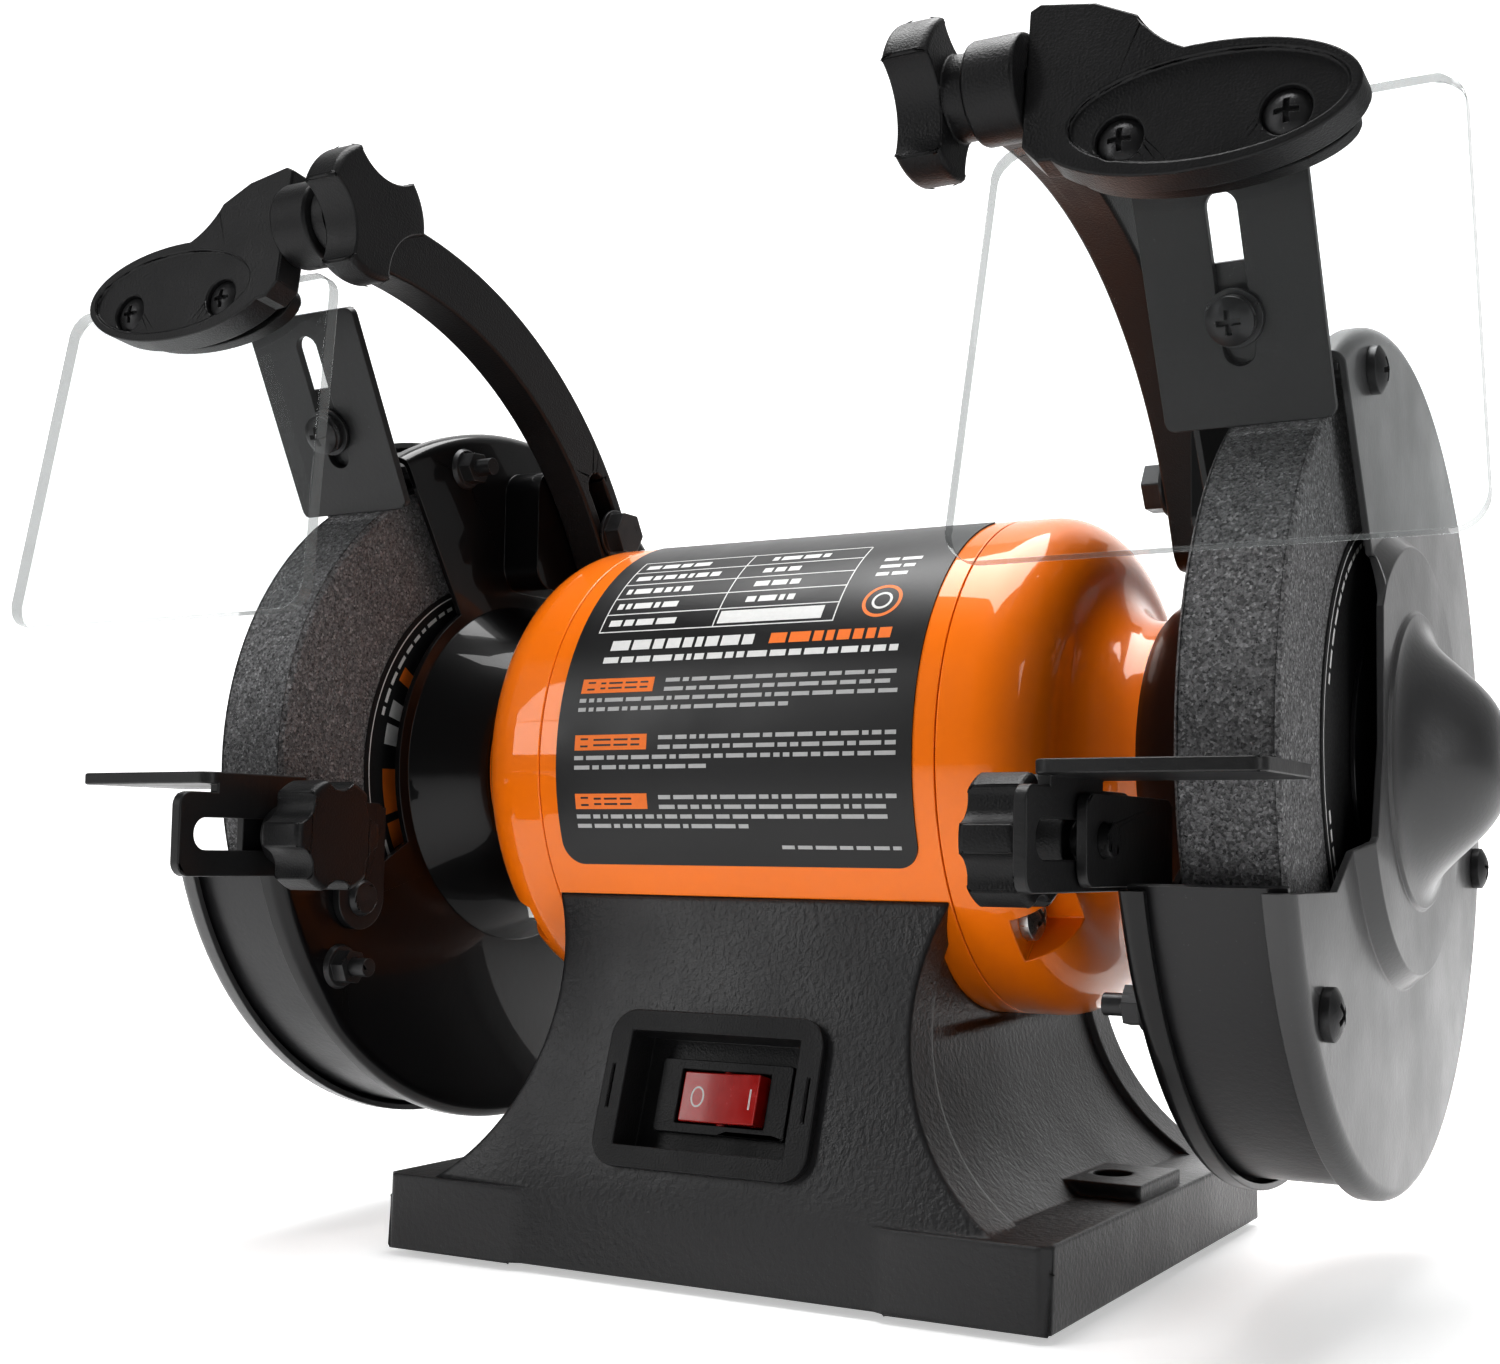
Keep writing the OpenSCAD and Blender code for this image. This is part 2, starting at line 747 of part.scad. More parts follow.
module arbor_shaft() {
    color("#b9bbbe") along_x(0, 0, arbor_z) {
        cylinder(r = journal_r + 1.5, h = 2 * bearing_x - 2, center = true);
        cylinder(r = journal_r, h = 2 * flange_in - 2 * touch, center = true);
        cylinder(r = arbor_r - touch, h = 2 * arbor_end - 2, center = true);
        for (s = [0, 1]) mirror([0, 0, s]) translate([0, 0, arbor_end - 1 - eps])
            cylinder(r1 = arbor_r - touch, r2 = arbor_r - 1, h = 1);
    }
}

// ---------- Wheels ----------

module wheel() {
    edge = 0.8;
    color("#6f7072") along_x(wheel_x, 0, arbor_z) difference() {
        union() {
            translate([0, 0, edge]) cylinder(r = wheel_r, h = wheel_w - 2 * edge, $fn = 180);
            cylinder(r1 = wheel_r - edge, r2 = wheel_r, h = edge + eps, $fn = 180);
            translate([0, 0, wheel_w - edge - eps])
                cylinder(r1 = wheel_r, r2 = wheel_r - edge, h = edge + eps, $fn = 180);
        }
        translate([0, 0, -1]) cylinder(r = arbor_r + touch, h = wheel_w + 2);
    }
}

module wheel_blotters() {
    color("#121212") both_ends() for (x = [wheel_x - blotter_t, wheel_out + touch / 2])
        along_x(x, 0, arbor_z) difference() {
            cylinder(r = blotter_r, h = blotter_t - touch, $fn = 128);
            translate([0, 0, -1]) cylinder(r = arbor_r + touch, h = 3);
        }
}

// Dished clamping flange that bears on the wheel near its rim
module flange_section() {
    polygon([
        [flange_r - 7, 0], [flange_r, 0], [flange_r, 1.2], [flange_r - 6, 3], [flange_r - 9, flange_t],
        [arbor_r + touch, flange_t], [arbor_r + touch, 1.4], [13, 1.4], [flange_r - 10, 1.8],
    ]);
}

module inner_flanges() {
    color("#1b1b1c") both_ends() along_x(wheel_x - blotter_t, 0, arbor_z)
        mirror([0, 0, 1]) translate([0, 0, touch]) rotate_extrude($fn = 96) flange_section();
}

module outer_flanges() {
    color("#1b1b1c") both_ends() along_x(flange_out + touch, 0, arbor_z)
        rotate_extrude($fn = 96) flange_section();
}

module arbor_nuts() {
    color("#a9abae") both_ends() along_x(flange_out + flange_t + 2 * touch, 0, arbor_z) difference() {
        intersection() {
            hex(nut_af, nut_t);
            rotate_extrude($fn = 64) polygon([
                [0, 0], [nut_af / 2, 0], [nut_af / 2 + 1.5, 0.9], [nut_af / 2 + 1.5, nut_t - 0.9],
                [nut_af / 2, nut_t], [0, nut_t],
            ]);
        }
        translate([0, 0, -1]) cylinder(r = arbor_r, h = nut_t + 2);
    }
}

// ---------- Guards ----------

// Outline of the guard in Y and Z about the arbor, with the open front cut away
module guard_outline(r, hub) {
    difference() {
        circle(r = r, $fn = 180);
        difference() {
            polygon([
                [open_front, open_top[1] + 60], [open_top[0] - 8, open_top[1] + 60], open_top,
                open_hub[0], open_hub[1], open_hub[2], open_hub[3], open_low, [open_front, open_low[1]],
            ]);
            if (hub > 0) circle(r = hub, $fn = 128);
        }
    }
}

// Section of a guard's side from a radius out to the lip that turns over its edge, from x = 0 inwards
function side_section(from) = let(fold = guard_r - lip_round) concat(
    [[from, 0]],
    arc(fold, lip_round, lip_round, 270, 360, 8),
    [[guard_r, lip_w], [guard_r - sheet, lip_w]],
    arc(fold, lip_round, lip_round - sheet, 360, 270, 8),
    [[from, sheet]]
);

function dish_points() = [
    [dish_r + 1, guard_in], [dish_r - 2, guard_in], [dish_top_r, dish_x + 2], [dish_top_r - 2, dish_x],
    [11, dish_x], [11, dish_x + sheet], [dish_top_r - 2.6, dish_x + sheet],
    [dish_top_r - 1.6, dish_x + sheet + 1.2], [dish_r - 3, guard_in + sheet], [dish_r + 1, guard_in + sheet],
];

module pad_inside() {
    rounded_rect([pad_y[0] + sheet, pad_z[0] + sheet], [pad_y[1] - sheet, pad_z[1] - sheet], 5);
}

// Raised pad that the eye shield's arm is bolted to
module arm_pad() {
    difference() {
        translate([0, 0, pad_x]) linear_extrude(guard_in - pad_x + eps)
            rounded_rect([pad_y[0], pad_z[0]], [pad_y[1], pad_z[1]], 6);
        translate([0, 0, pad_x + sheet]) linear_extrude(guard_in - pad_x + 4)
            pad_inside();
    }
}

module inner_guard() {
    color("#101011") along_x(0, 0, arbor_z) difference() {
        union() {
            difference() {
                intersection() {
                    translate([0, 0, guard_in]) rotate_extrude($fn = 180) polygon(side_section(dish_r - 1));
                    translate([0, 0, guard_in - 1]) linear_extrude(lip_w + 2)
                        guard_outline(guard_r + 1, dish_r + 0.5);
                }
                translate([0, 0, guard_in - 1]) linear_extrude(sheet + 2)
                    pad_inside();
            }
            rotate_extrude($fn = 128) polygon(dish_points());
            arm_pad();
        }
        for (a = screw_angles) rotate([0, 0, a])
            translate([screw_ring_r, 0, guard_in - 1]) cylinder(r = cover_screw_r + 0.2, h = 6);
        for (a = [90:120:330]) rotate([0, 0, a]) translate([25, 0, dish_x - 1]) cylinder(r = 2.3, h = 5);
        translate([arm_bolt_y, arm_bolt_z - arbor_z, pad_x - 1]) cylinder(r = stud_r + run, h = 6);
        translate([rivet_y, rivet_z - arbor_z, guard_in - 1]) cylinder(r = 3, h = 5);
    }
}

// Band round the wheel, with the tab that holds the spark arrester
module guard_band() {
    low = guard_in + sheet + seat;
    high = guard_out - sheet - seat;
    color("#222324") {
        along_x(0, 0, arbor_z) rotate([0, 0, ring_from])
            rotate_extrude(angle = 360 + ring_to - ring_from, $fn = 180)
                translate([band_r - sheet, low]) square([sheet, high - low]);
        arrester_plane() difference() {
            translate([-tab_w / 2, part_gap, tab_low]) cube([tab_w, sheet, tab_top - tab_low]);
            rotate([90, 0, 0]) cylinder(r = screw_r + run, h = 20, center = true);
        }
    }
}

// Section of the domed cap, from its rim to the edge of the small flat at its top
function dome(n, drop) = [
    for (i = [0:n]) let(q = 1 - i / n)
        [
            dome_top + (dome_r - dome_top) * q,
            hub_step + ring_step + dome_h * (1 + cos(180 * pow(q, 1.3))) / 2 - drop,
        ],
];
function reversed(list) = [for (i = [len(list) - 1:-1:0]) list[i]];

// Section of the cover: side with its lip, stepped ring and dome, with the outside along +Y
module cover_section() {
    side = side_section(hub_ring + 3);
    drop = sheet + 0.4;
    top = hub_step + ring_step + dome_h;
    polygon(concat(
        [for (p = side) [p[0], -p[1]]],
        [
            [hub_ring - 0.8, hub_step - sheet], [ring_in + 0.5, hub_step - sheet],
            [ring_in - 0.8, hub_step + ring_step - drop],
        ],
        dome(18, drop),
        [[0, top - drop], [0, top]],
        reversed(dome(18, 0)),
        [[ring_in - 0.5, hub_step + ring_step], [ring_in, hub_step], [hub_ring, hub_step]]
    ));
}

module outer_cover() {
    color("#4c4e50") along_x(0, 0, arbor_z) difference() {
        intersection() {
            translate([0, 0, guard_out]) rotate_extrude($fn = 180) cover_section();
            translate([0, 0, guard_out - lip_w - 1]) linear_extrude(dome_h + lip_w + 10)
                guard_outline(guard_r + 1, 0);
        }
        for (a = screw_angles) rotate([0, 0, a])
            translate([screw_ring_r, 0, guard_out - 4]) cylinder(r = cover_screw_r + 0.2, h = 8);
    }
}

module guard_mount_screws() {
    color("#8f9194") both_ends() along_x(0, 0, arbor_z) for (a = [90:120:330]) rotate([0, 0, a])
        translate([25, 0, 0]) {
            translate([0, 0, bell_end - 8]) cylinder(r = 2, h = 10.2);
            translate([0, 0, dish_x + sheet + touch]) pan_head(4, 2.6);
        }
}

module cover_screws() {
    color("#161617") both_ends() along_x(0, 0, arbor_z) for (a = screw_angles) rotate([0, 0, a])
        translate([screw_ring_r, 0, 0]) {
            translate([0, 0, guard_in - 9]) cylinder(r = cover_screw_r, h = guard_out - guard_in + 10);
            translate([0, 0, guard_out + touch]) pan_head(4.8, 3.4);
        }
}

module cover_nuts() {
    color("#2a2b2c") both_ends() along_x(0, 0, arbor_z) for (a = screw_angles) rotate([0, 0, a])
        translate([screw_ring_r, 0, guard_in - touch]) mirror([0, 0, 1]) difference() {
            union() {
                cylinder(r1 = 5.2, r2 = 4.6, h = 1.2);
                rotate([0, 0, 15]) hex(7, 4.6);
            }
            translate([0, 0, -1]) cylinder(r = cover_screw_r + touch, h = 8);
        }
}

// ---------- Spark arresters ----------

module arrester_screws() {
    color("#1d1d1e") both_ends() arrester_plane() {
        rotate([90, 0, 0]) {
            translate([0, 0, -3]) cylinder(r = screw_r, h = 3 + arrester_t + 3);
            translate([0, 0, arrester_t + part_gap]) difference() {
                cylinder(r = 5.6, h = 0.8);
                translate([0, 0, -1]) cylinder(r = screw_r + touch, h = 3);
            }
            translate([0, 0, arrester_t + part_gap + 0.8 + touch]) difference() {
                cylinder(r = 4.6, h = 1.2);
                translate([0, 0, -1]) cylinder(r = screw_r + touch, h = 3);
            }
            translate([0, 0, arrester_t + part_gap + 2 + 2 * touch]) pan_head(4.6, 3);
        }
        translate([0, part_gap + sheet + touch, 0]) rotate([-90, 0, 0]) difference() {
            hex(8, 3.4);
            translate([0, 0, -1]) cylinder(r = screw_r + touch, h = 6);
        }
    }
}

module spark_arrester() {
    color("#19191a") arrester_plane() rotate([90, 0, 0]) linear_extrude(arrester_t) difference() {
        rounded_rect([-arrester_w / 2, arrester_low], [arrester_w / 2, arrester_low + arrester_l], 2);
        slot_y(arrester_slot[0], arrester_slot[1], arrester_slot_r);
    }
}

// ---------- Tool rests ----------

module rest_bracket() {
    color("#151516") along_x(bracket_x + touch, 0, 0) linear_extrude(bracket_t - 2 * touch) difference() {
        union() {
            translate([rivet_y, rivet_z]) circle(r = bracket_w / 2);
            translate([rivet_y - bracket_w / 2, rivet_z]) square([bracket_w, rest_slot_z - rivet_z + 7]);
            rounded_rect(
                [rest_bolt_y - 8, rest_slot_z - 8], [rivet_y + bracket_w / 2, rest_slot_z + 8], 3
            );
        }
        translate([rest_bolt_y, rest_slot_z]) circle(r = stud_r + run);
        translate([rivet_y, rivet_z]) circle(r = 3);
    }
}

module bracket_rivets() {
    color("#1a1a1b") both_ends() along_x(0, rivet_y, rivet_z) {
        translate([0, 0, bracket_x - 1]) cylinder(r = 2.95, h = bracket_t + sheet + 2);
        translate([0, 0, bracket_x]) mirror([0, 0, 1]) cylinder(r1 = 4.4, r2 = 3.6, h = 1.5);
        translate([0, 0, guard_in + sheet + touch]) cylinder(r1 = 4.4, r2 = 3.6, h = 1.2);
    }
}

// Table that holds the work, with a slotted leg beside the guard
module tool_rest() {
    color("#1f2021") {
        translate([0, 0, rest_z - rest_t]) linear_extrude(rest_t) difference() {
            rounded_rect([rest_in, rest_front], [rest_out, rest_back], 3);
            translate([rest_in - 5, rest_front - 1]) square([5, rest_depth + 2]);
        }
        along_x(rest_in) linear_extrude(rest_t) difference() {
            union() {
                rounded_rect([leg_front, leg_z[0]], [leg_back, leg_z[1]], 3);
                translate([rest_front + 3, leg_z[0]]) square([rest_depth - 6, rest_z - leg_z[0] - 1]);
                translate([rest_front + 3, rest_z - rest_t]) square([rest_depth - 6, rest_t]);
            }
            translate([leg_front + 4 + rest_slot_r, rest_slot_z]) rotate([0, 0, -90])
                slot_y(0, leg_back - leg_front - 8 - 2 * rest_slot_r, rest_slot_r);
        }
    }
}

module rest_knob() {
    knob_out = rest_in - part_gap - knob_hub;
    color("#171718") along_x(0, rest_bolt_y, rest_slot_z) {
        translate([0, 0, knob_out - rest_knob_t]) {
            fluted_knob(rest_knob_r, rest_knob_lobes, 4.6, rest_knob_r + 1.9, rest_knob_t);
        }
        translate([0, 0, knob_out - 1]) cylinder(r1 = 7.5, r2 = 6.5, h = rest_in - part_gap - knob_out + 1);
        translate([0, 0, knob_out - 1]) cylinder(r = stud_r, h = guard_in + 2 - knob_out + 1);
    }
}

// ---------- Eye shields ----------

// Curved slot or bar between two angles of the arm's own circle
module arm_curve(from, to, half) {
    intersection() {
        difference() {
            circle(r = arm_r + half, $fn = 180);
            circle(r = arm_r - half, $fn = 180);
        }
        polygon([
            [0, 0], 3 * arm_r * [cos(from), sin(from)],
            3 * arm_r * [cos((from + to) / 2), sin((from + to) / 2)], 3 * arm_r * [cos(to), sin(to)],
        ]);
    }
    for (a = [from, to]) translate(arm_r * [cos(a), sin(a)]) circle(r = half - seat);
}

module shield_arm() {
    color("#1c1c1d") along_x(arm_in, arm_y, arm_z) linear_extrude(arm_t) difference() {
        union() {
            arm_curve(arm_low_a, arm_high_a, arm_d / 2);
            translate([pivot_y - arm_y, pivot_z - arm_z]) circle(r = eye_r);
        }
        arm_curve(arm_bolt_a, arm_slot_a, stud_r + part_gap);
        translate([pivot_y - arm_y, pivot_z - arm_z]) circle(r = stud_r + run);
    }
}

module arm_bolts() {
    color("#202122") both_ends() along_x(0, arm_bolt_y, arm_bolt_z) {
        translate([0, 0, arm_in - part_gap - 5.2]) hex(10, 4.4);
        translate([0, 0, arm_in - part_gap - 0.9]) cylinder(r = 6.4, h = 0.9);
        translate([0, 0, arm_in - part_gap - 2]) cylinder(r = stud_r, h = pad_x + 8 - arm_in + part_gap + 2);
        translate([0, 0, pad_x + sheet + touch]) difference() {
            hex(10, 5);
            translate([0, 0, -1]) cylinder(r = stud_r + touch, h = 8);
        }
    }
}

module shield_knob() {
    knob_out = arm_in - part_gap - 4;
    color("#171718") along_x(0, pivot_y, pivot_z) {
        translate([0, 0, knob_out - shield_knob_t]) rotate([0, 0, 20])
            fluted_knob(shield_knob_r, 3, 12, 20, shield_knob_t);
        translate([0, 0, knob_out - 1]) cylinder(r = 7.6, h = arm_in - part_gap - knob_out + 1);
        translate([0, 0, knob_out - 1]) cylinder(r = stud_r, h = clamp_x + riser_w - 3 - knob_out);
    }
}

// Outline of the clamp's riser and oval plate, in X and Z from the pivot
module clamp_outline() {
    union() {
        polygon(oval(oval_x, oval_z, oval_a, oval_b));
        difference() {
            polygon([
                [0, riser_low + 3], [3, riser_low], [oval_x, riser_low - 3], [oval_x + 6, -1],
                [riser_w, riser_top - 2], [2, riser_top], [0, riser_top - 1],
            ]);
            translate([oval_x + 6, 17]) circle(r = 19.2, $fn = 96);
        }
    }
}

module shield_clamp() {
    color("#1b1b1c") shield_plane() translate([clamp_x, 0, 0]) difference() {
        union() {
            along_y(shield_y - part_gap) linear_extrude(clamp_t - part_gap) clamp_outline();
            translate([0, shield_y - clamp_t + 0.4, -2]) cube([riser_w - 1, clamp_t + 3.4, riser_top]);
        }
        translate([0, shield_y - clamp_t - 1, 0]) rotate([90, 0, 0]) translate([0, 0, -2])
            linear_extrude(20) polygon(oval(oval_x + 2, oval_z, oval_a - 4, oval_b - oval_step));
        along_x(-1) cylinder(r = stud_r + run, h = riser_w - 2);
        for (x = clamp_screws) translate([x, 0, clamp_screw_z]) rotate([90, 0, 0]) {
            cylinder(r = screw_r + seat, h = 40, center = true);
            translate([0, 0, clamp_t - shield_y - clamp_head_y - touch])
                cylinder(r = clamp_head_r + seat, h = 40);
        }
    }
}

module clamp_back() {
    color("#1b1b1c") shield_plane()
        translate([clamp_x, shield_y + shield_t + back_t + touch, 0]) rotate([90, 0, 0])
            linear_extrude(back_t) difference() {
                intersection() {
                    polygon(oval(oval_x, oval_z - 1, oval_a - 3, oval_b - 3));
                    translate([4, -60]) square([100, 48.5 + 11]);
                }
                for (x = clamp_screws) translate([x, clamp_screw_z]) circle(r = screw_r - 0.4);
            }
}

// Outline of the clear shield, a little wider at its lower edge, with rounded corners
module shield_outline(r) {
    low = shield_top - shield_h + r;
    high = shield_top - r;
    flare = 0.05 * shield_w;
    slope = atan(flare / shield_h);
    polygon(concat(
        arc(r - flare, low, r, 180 + slope, 270, 8), arc(shield_w + flare - r, low, r, 270, 360 - slope, 8),
        arc(shield_w - r, high, r, -slope, 90, 8), arc(r, high, r, 90, 180 + slope, 8)
    ));
}

module eye_shield() {
    color("#e8f0f2", 0.35) shield_plane() translate([shield_x, shield_y + shield_t, 0]) rotate([90, 0, 0])
        linear_extrude(shield_t) difference() {
            shield_outline(6);
            for (x = clamp_screws) translate([x + clamp_x - shield_x, clamp_screw_z])
                circle(r = screw_r + seat);
        }
}

module shield_screws() {
    color("#242526") shield_plane() for (x = clamp_screws) translate([clamp_x + x, 0, clamp_screw_z]) {
        rotate([90, 0, 0]) translate([0, 0, -shield_y - shield_t - back_t])
            cylinder(r = screw_r - 0.5, h = shield_t + back_t + clamp_t - clamp_head_y);
        translate([0, shield_y - clamp_t + clamp_head_y, 0]) rotate([90, 0, 0]) pan_head(clamp_head_r, 2.4);
    }
}

base();
base_plate();
rubber_feet();
base_screws();
saddle_bolts();
switch_housing();
switch_body();
switch_rocker();
cord_gland();
capacitor();
motor_shell();
left() end_bell();  // end_bell_left
end_bell();  // end_bell_right
label_plate();
through_bolts();
stator_core();
stator_windings();
bearing_outer_rings();
bearing_inner_rings();
bearing_balls();
rotor_core();
arbor_shaft();
inner_flanges();
outer_flanges();
arbor_nuts();
wheel_blotters();
left() wheel();  // wheel_left
wheel();  // wheel_right
left() inner_guard();  // inner_guard_left
inner_guard();  // inner_guard_right
left() guard_band();  // guard_band_left
guard_band();  // guard_band_right
left() outer_cover();  // outer_cover_left
outer_cover();  // outer_cover_right
guard_mount_screws();
cover_screws();
cover_nuts();
arrester_screws();
left() spark_arrester();  // spark_arrester_left
spark_arrester();  // spark_arrester_right
left() rest_bracket();  // rest_bracket_left
rest_bracket();  // rest_bracket_right
bracket_rivets();
left() tool_rest();  // tool_rest_left
tool_rest();  // tool_rest_right
left() rest_knob();  // rest_knob_left
rest_knob();  // rest_knob_right
arm_bolts();
left() shield_arm();  // shield_arm_left
shield_arm();  // shield_arm_right
left() shield_knob();  // shield_knob_left
shield_knob();  // shield_knob_right
left() shield_clamp();  // shield_clamp_left
shield_clamp();  // shield_clamp_right
left() clamp_back();  // clamp_back_left
clamp_back();  // clamp_back_right
left() eye_shield();  // eye_shield_left
eye_shield();  // eye_shield_right
left() shield_screws();  // shield_screws_left
shield_screws();  // shield_screws_right
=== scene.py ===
"""Looks of the bench grinder: materials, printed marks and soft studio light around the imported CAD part."""

import json
import math
import random

import bmesh
import bpy
from mathutils import Matrix, Vector
from mathutils.bvhtree import BVHTree


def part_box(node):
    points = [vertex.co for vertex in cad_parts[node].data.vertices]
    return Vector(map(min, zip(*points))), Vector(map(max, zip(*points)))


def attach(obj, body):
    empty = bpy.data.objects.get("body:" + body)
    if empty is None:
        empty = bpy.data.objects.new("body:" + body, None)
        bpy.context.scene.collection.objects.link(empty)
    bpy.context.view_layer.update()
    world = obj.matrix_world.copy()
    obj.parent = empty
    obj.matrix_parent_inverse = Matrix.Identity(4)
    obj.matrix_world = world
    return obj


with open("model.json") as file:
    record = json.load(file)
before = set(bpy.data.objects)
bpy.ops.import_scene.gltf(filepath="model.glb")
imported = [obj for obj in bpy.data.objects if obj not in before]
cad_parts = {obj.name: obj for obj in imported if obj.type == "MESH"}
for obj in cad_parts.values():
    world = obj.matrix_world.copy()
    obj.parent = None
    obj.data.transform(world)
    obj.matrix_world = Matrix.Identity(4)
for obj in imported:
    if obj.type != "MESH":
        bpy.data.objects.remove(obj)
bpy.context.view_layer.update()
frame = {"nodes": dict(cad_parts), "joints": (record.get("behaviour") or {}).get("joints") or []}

NODES = frame["nodes"]
SIDES = (("left", -1), ("right", 1))


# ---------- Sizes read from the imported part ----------

# The print lies this far over the shell, on the face of the label
LABEL_PROUD = 0.00035
WHEEL_LOW, WHEEL_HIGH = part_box("wheel_right")
ARBOR_Z = ((WHEEL_LOW + WHEEL_HIGH) / 2).z
LABEL_LOW, LABEL_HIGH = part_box("label_plate")
SHELL_LOW, SHELL_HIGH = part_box("motor_shell")
LABEL_R = (SHELL_HIGH.z - SHELL_LOW.z) / 2 + LABEL_PROUD


# ---------- Material kit ----------

class Surface:
    """A Principled material with helpers that wire noise into colour, roughness and bump.

    Noise and cell scales are per metre, and bump distances are in metres.
    """

    def __init__(self, name, color, rough, metal=0.0, coat=0.0, coat_rough=0.05, ior=1.5, spec=0.5):
        self.material = bpy.data.materials.new(name)
        self.material.use_nodes = True
        self.tree = self.material.node_tree
        self.shader = self.tree.nodes["Principled BSDF"]
        self.set("Base Color", (*color, 1.0))
        self.set("Roughness", rough)
        self.set("Metallic", metal)
        self.set("Coat Weight", coat)
        self.set("Coat Roughness", coat_rough)
        self.set("IOR", ior)
        self.set("Specular IOR Level", spec)
        self.color = color
        self.coords = self.add("ShaderNodeTexCoord").outputs["Object"]
        self.normal = None

    def set(self, socket, value):
        self.shader.inputs[socket].default_value = value

    def add(self, kind, **values):
        node = self.tree.nodes.new(kind)
        for key, value in values.items():
            setattr(node, key, value)
        return node

    def link(self, a, b):
        self.tree.links.new(a, b)
        return b

    def stretched(self, scale):
        mapping = self.add("ShaderNodeMapping")
        mapping.inputs["Scale"].default_value = scale
        self.link(self.coords, mapping.inputs["Vector"])
        return mapping.outputs["Vector"]

    def noise(self, scale, detail=3.0, rough=0.55, coords=None):
        node = self.add("ShaderNodeTexNoise")
        node.inputs["Scale"].default_value = scale
        node.inputs["Detail"].default_value = detail
        node.inputs["Roughness"].default_value = rough
        self.link(coords or self.coords, node.inputs["Vector"])
        return node.outputs["Fac"]

    def cells(self, scale, feature="F1", coords=None, output="Distance"):
        node = self.add("ShaderNodeTexVoronoi", feature=feature)
        node.inputs["Scale"].default_value = scale
        self.link(coords or self.coords, node.inputs["Vector"])
        return node.outputs[output]

    def ramp(self, fac, low, high, a=0.0, b=1.0):
        node = self.add("ShaderNodeMapRange")
        for key, value in (("From Min", low), ("From Max", high), ("To Min", a), ("To Max", b)):
            node.inputs[key].default_value = value
        self.link(fac, node.inputs["Value"])
        return node.outputs["Result"]

    def mix(self, fac, a, b):
        node = self.add("ShaderNodeMix", data_type="RGBA")
        self.link(fac, node.inputs["Factor"])
        for socket, value in ((node.inputs[6], a), (node.inputs[7], b)):
            if isinstance(value, tuple):
                socket.default_value = (*value, 1.0)
            else:
                self.link(value, socket)
        return node.outputs[2]

    def tint(self, fac, darker, lighter):
        """Colour that wanders between two shades of the base colour."""
        a = tuple(c * darker for c in self.color)
        b = tuple(min(c * lighter, 1.0) for c in self.color)
        self.link(self.mix(fac, a, b), self.shader.inputs["Base Color"])
        return self

    def gloss(self, fac, low, high):
        """Roughness that wanders between two values."""
        self.link(self.ramp(fac, 0.3, 0.7, low, high), self.shader.inputs["Roughness"])
        return self

    def soft_edges(self, radius):
        """Shades the edges as if they were rounded, under any bump added later."""
        node = self.add("ShaderNodeBevel", samples=6)
        node.inputs["Radius"].default_value = radius
        self.normal = node.outputs["Normal"]
        self.link(self.normal, self.shader.inputs["Normal"])

    def bump(self, fac, distance, strength=1.0):
        node = self.add("ShaderNodeBump")
        node.inputs["Distance"].default_value = distance
        node.inputs["Strength"].default_value = strength
        self.link(fac, node.inputs["Height"])
        if self.normal:
            self.link(self.normal, node.inputs["Normal"])
        self.normal = node.outputs["Normal"]
        self.link(self.normal, self.shader.inputs["Normal"])
        return self


def powder_paint(name, color, rough, peel=0.00006, dust=0.12, coat=0.0, edge=0.0):
    """Sprayed or powder paint: fine orange peel, cloudy gloss and a trace of pale dust."""
    s = Surface(name, color, rough, coat=coat, coat_rough=0.1, spec=0.4)
    cloud = s.noise(38, 4)
    fine = s.noise(2600, 2)
    s.gloss(cloud, rough - 0.05, rough + 0.08)
    if edge:
        s.soft_edges(edge)
    s.bump(s.noise(820, 2, 0.5), peel).bump(fine, peel * 0.4)
    specks = s.ramp(s.noise(1500, 3, 0.7), 0.66, 0.78, 0.0, dust)
    shade = s.mix(cloud, tuple(c * 0.85 for c in color), tuple(c * 1.15 for c in color))
    s.link(s.mix(specks, shade, (0.3, 0.3, 0.31)), s.shader.inputs["Base Color"])
    return s.material


def gloss_paint(name, color, rough, peel=0.00003, coat=0.75):
    """Wet-look enamel under a clear coat."""
    s = Surface(name, color, rough, coat=coat, coat_rough=0.03, spec=0.12)
    cloud = s.noise(24, 3)
    s.tint(cloud, 0.93, 1.05).gloss(cloud, rough - 0.03, rough + 0.05)
    s.bump(s.noise(420, 2, 0.4), peel).bump(s.noise(1900, 2), peel * 0.25)
    return s.material


def moulded_plastic(name, color, rough, grain=0.00005):
    """Moulded plastic with a fine spark-eroded grain."""
    s = Surface(name, color, rough, ior=1.46, spec=0.28)
    cloud = s.noise(60, 3)
    s.tint(cloud, 0.85, 1.2).gloss(cloud, rough - 0.06, rough + 0.08)
    s.bump(s.cells(2100), grain).bump(s.noise(5200, 2), grain * 0.5)
    return s.material


def machined_steel(name, color, rough, along=(1.0, 60.0, 60.0)):
    """Turned or drawn steel with fine lines and a little staining."""
    s = Surface(name, color, rough, metal=1.0)
    lines = s.noise(90, 3, 0.6, s.stretched(along))
    stain = s.noise(75, 4, 0.65)
    s.tint(stain, 0.72, 1.12).gloss(lines, rough - 0.08, rough + 0.16)
    s.bump(lines, 0.00002).bump(s.noise(900, 3), 0.00002)
    return s.material


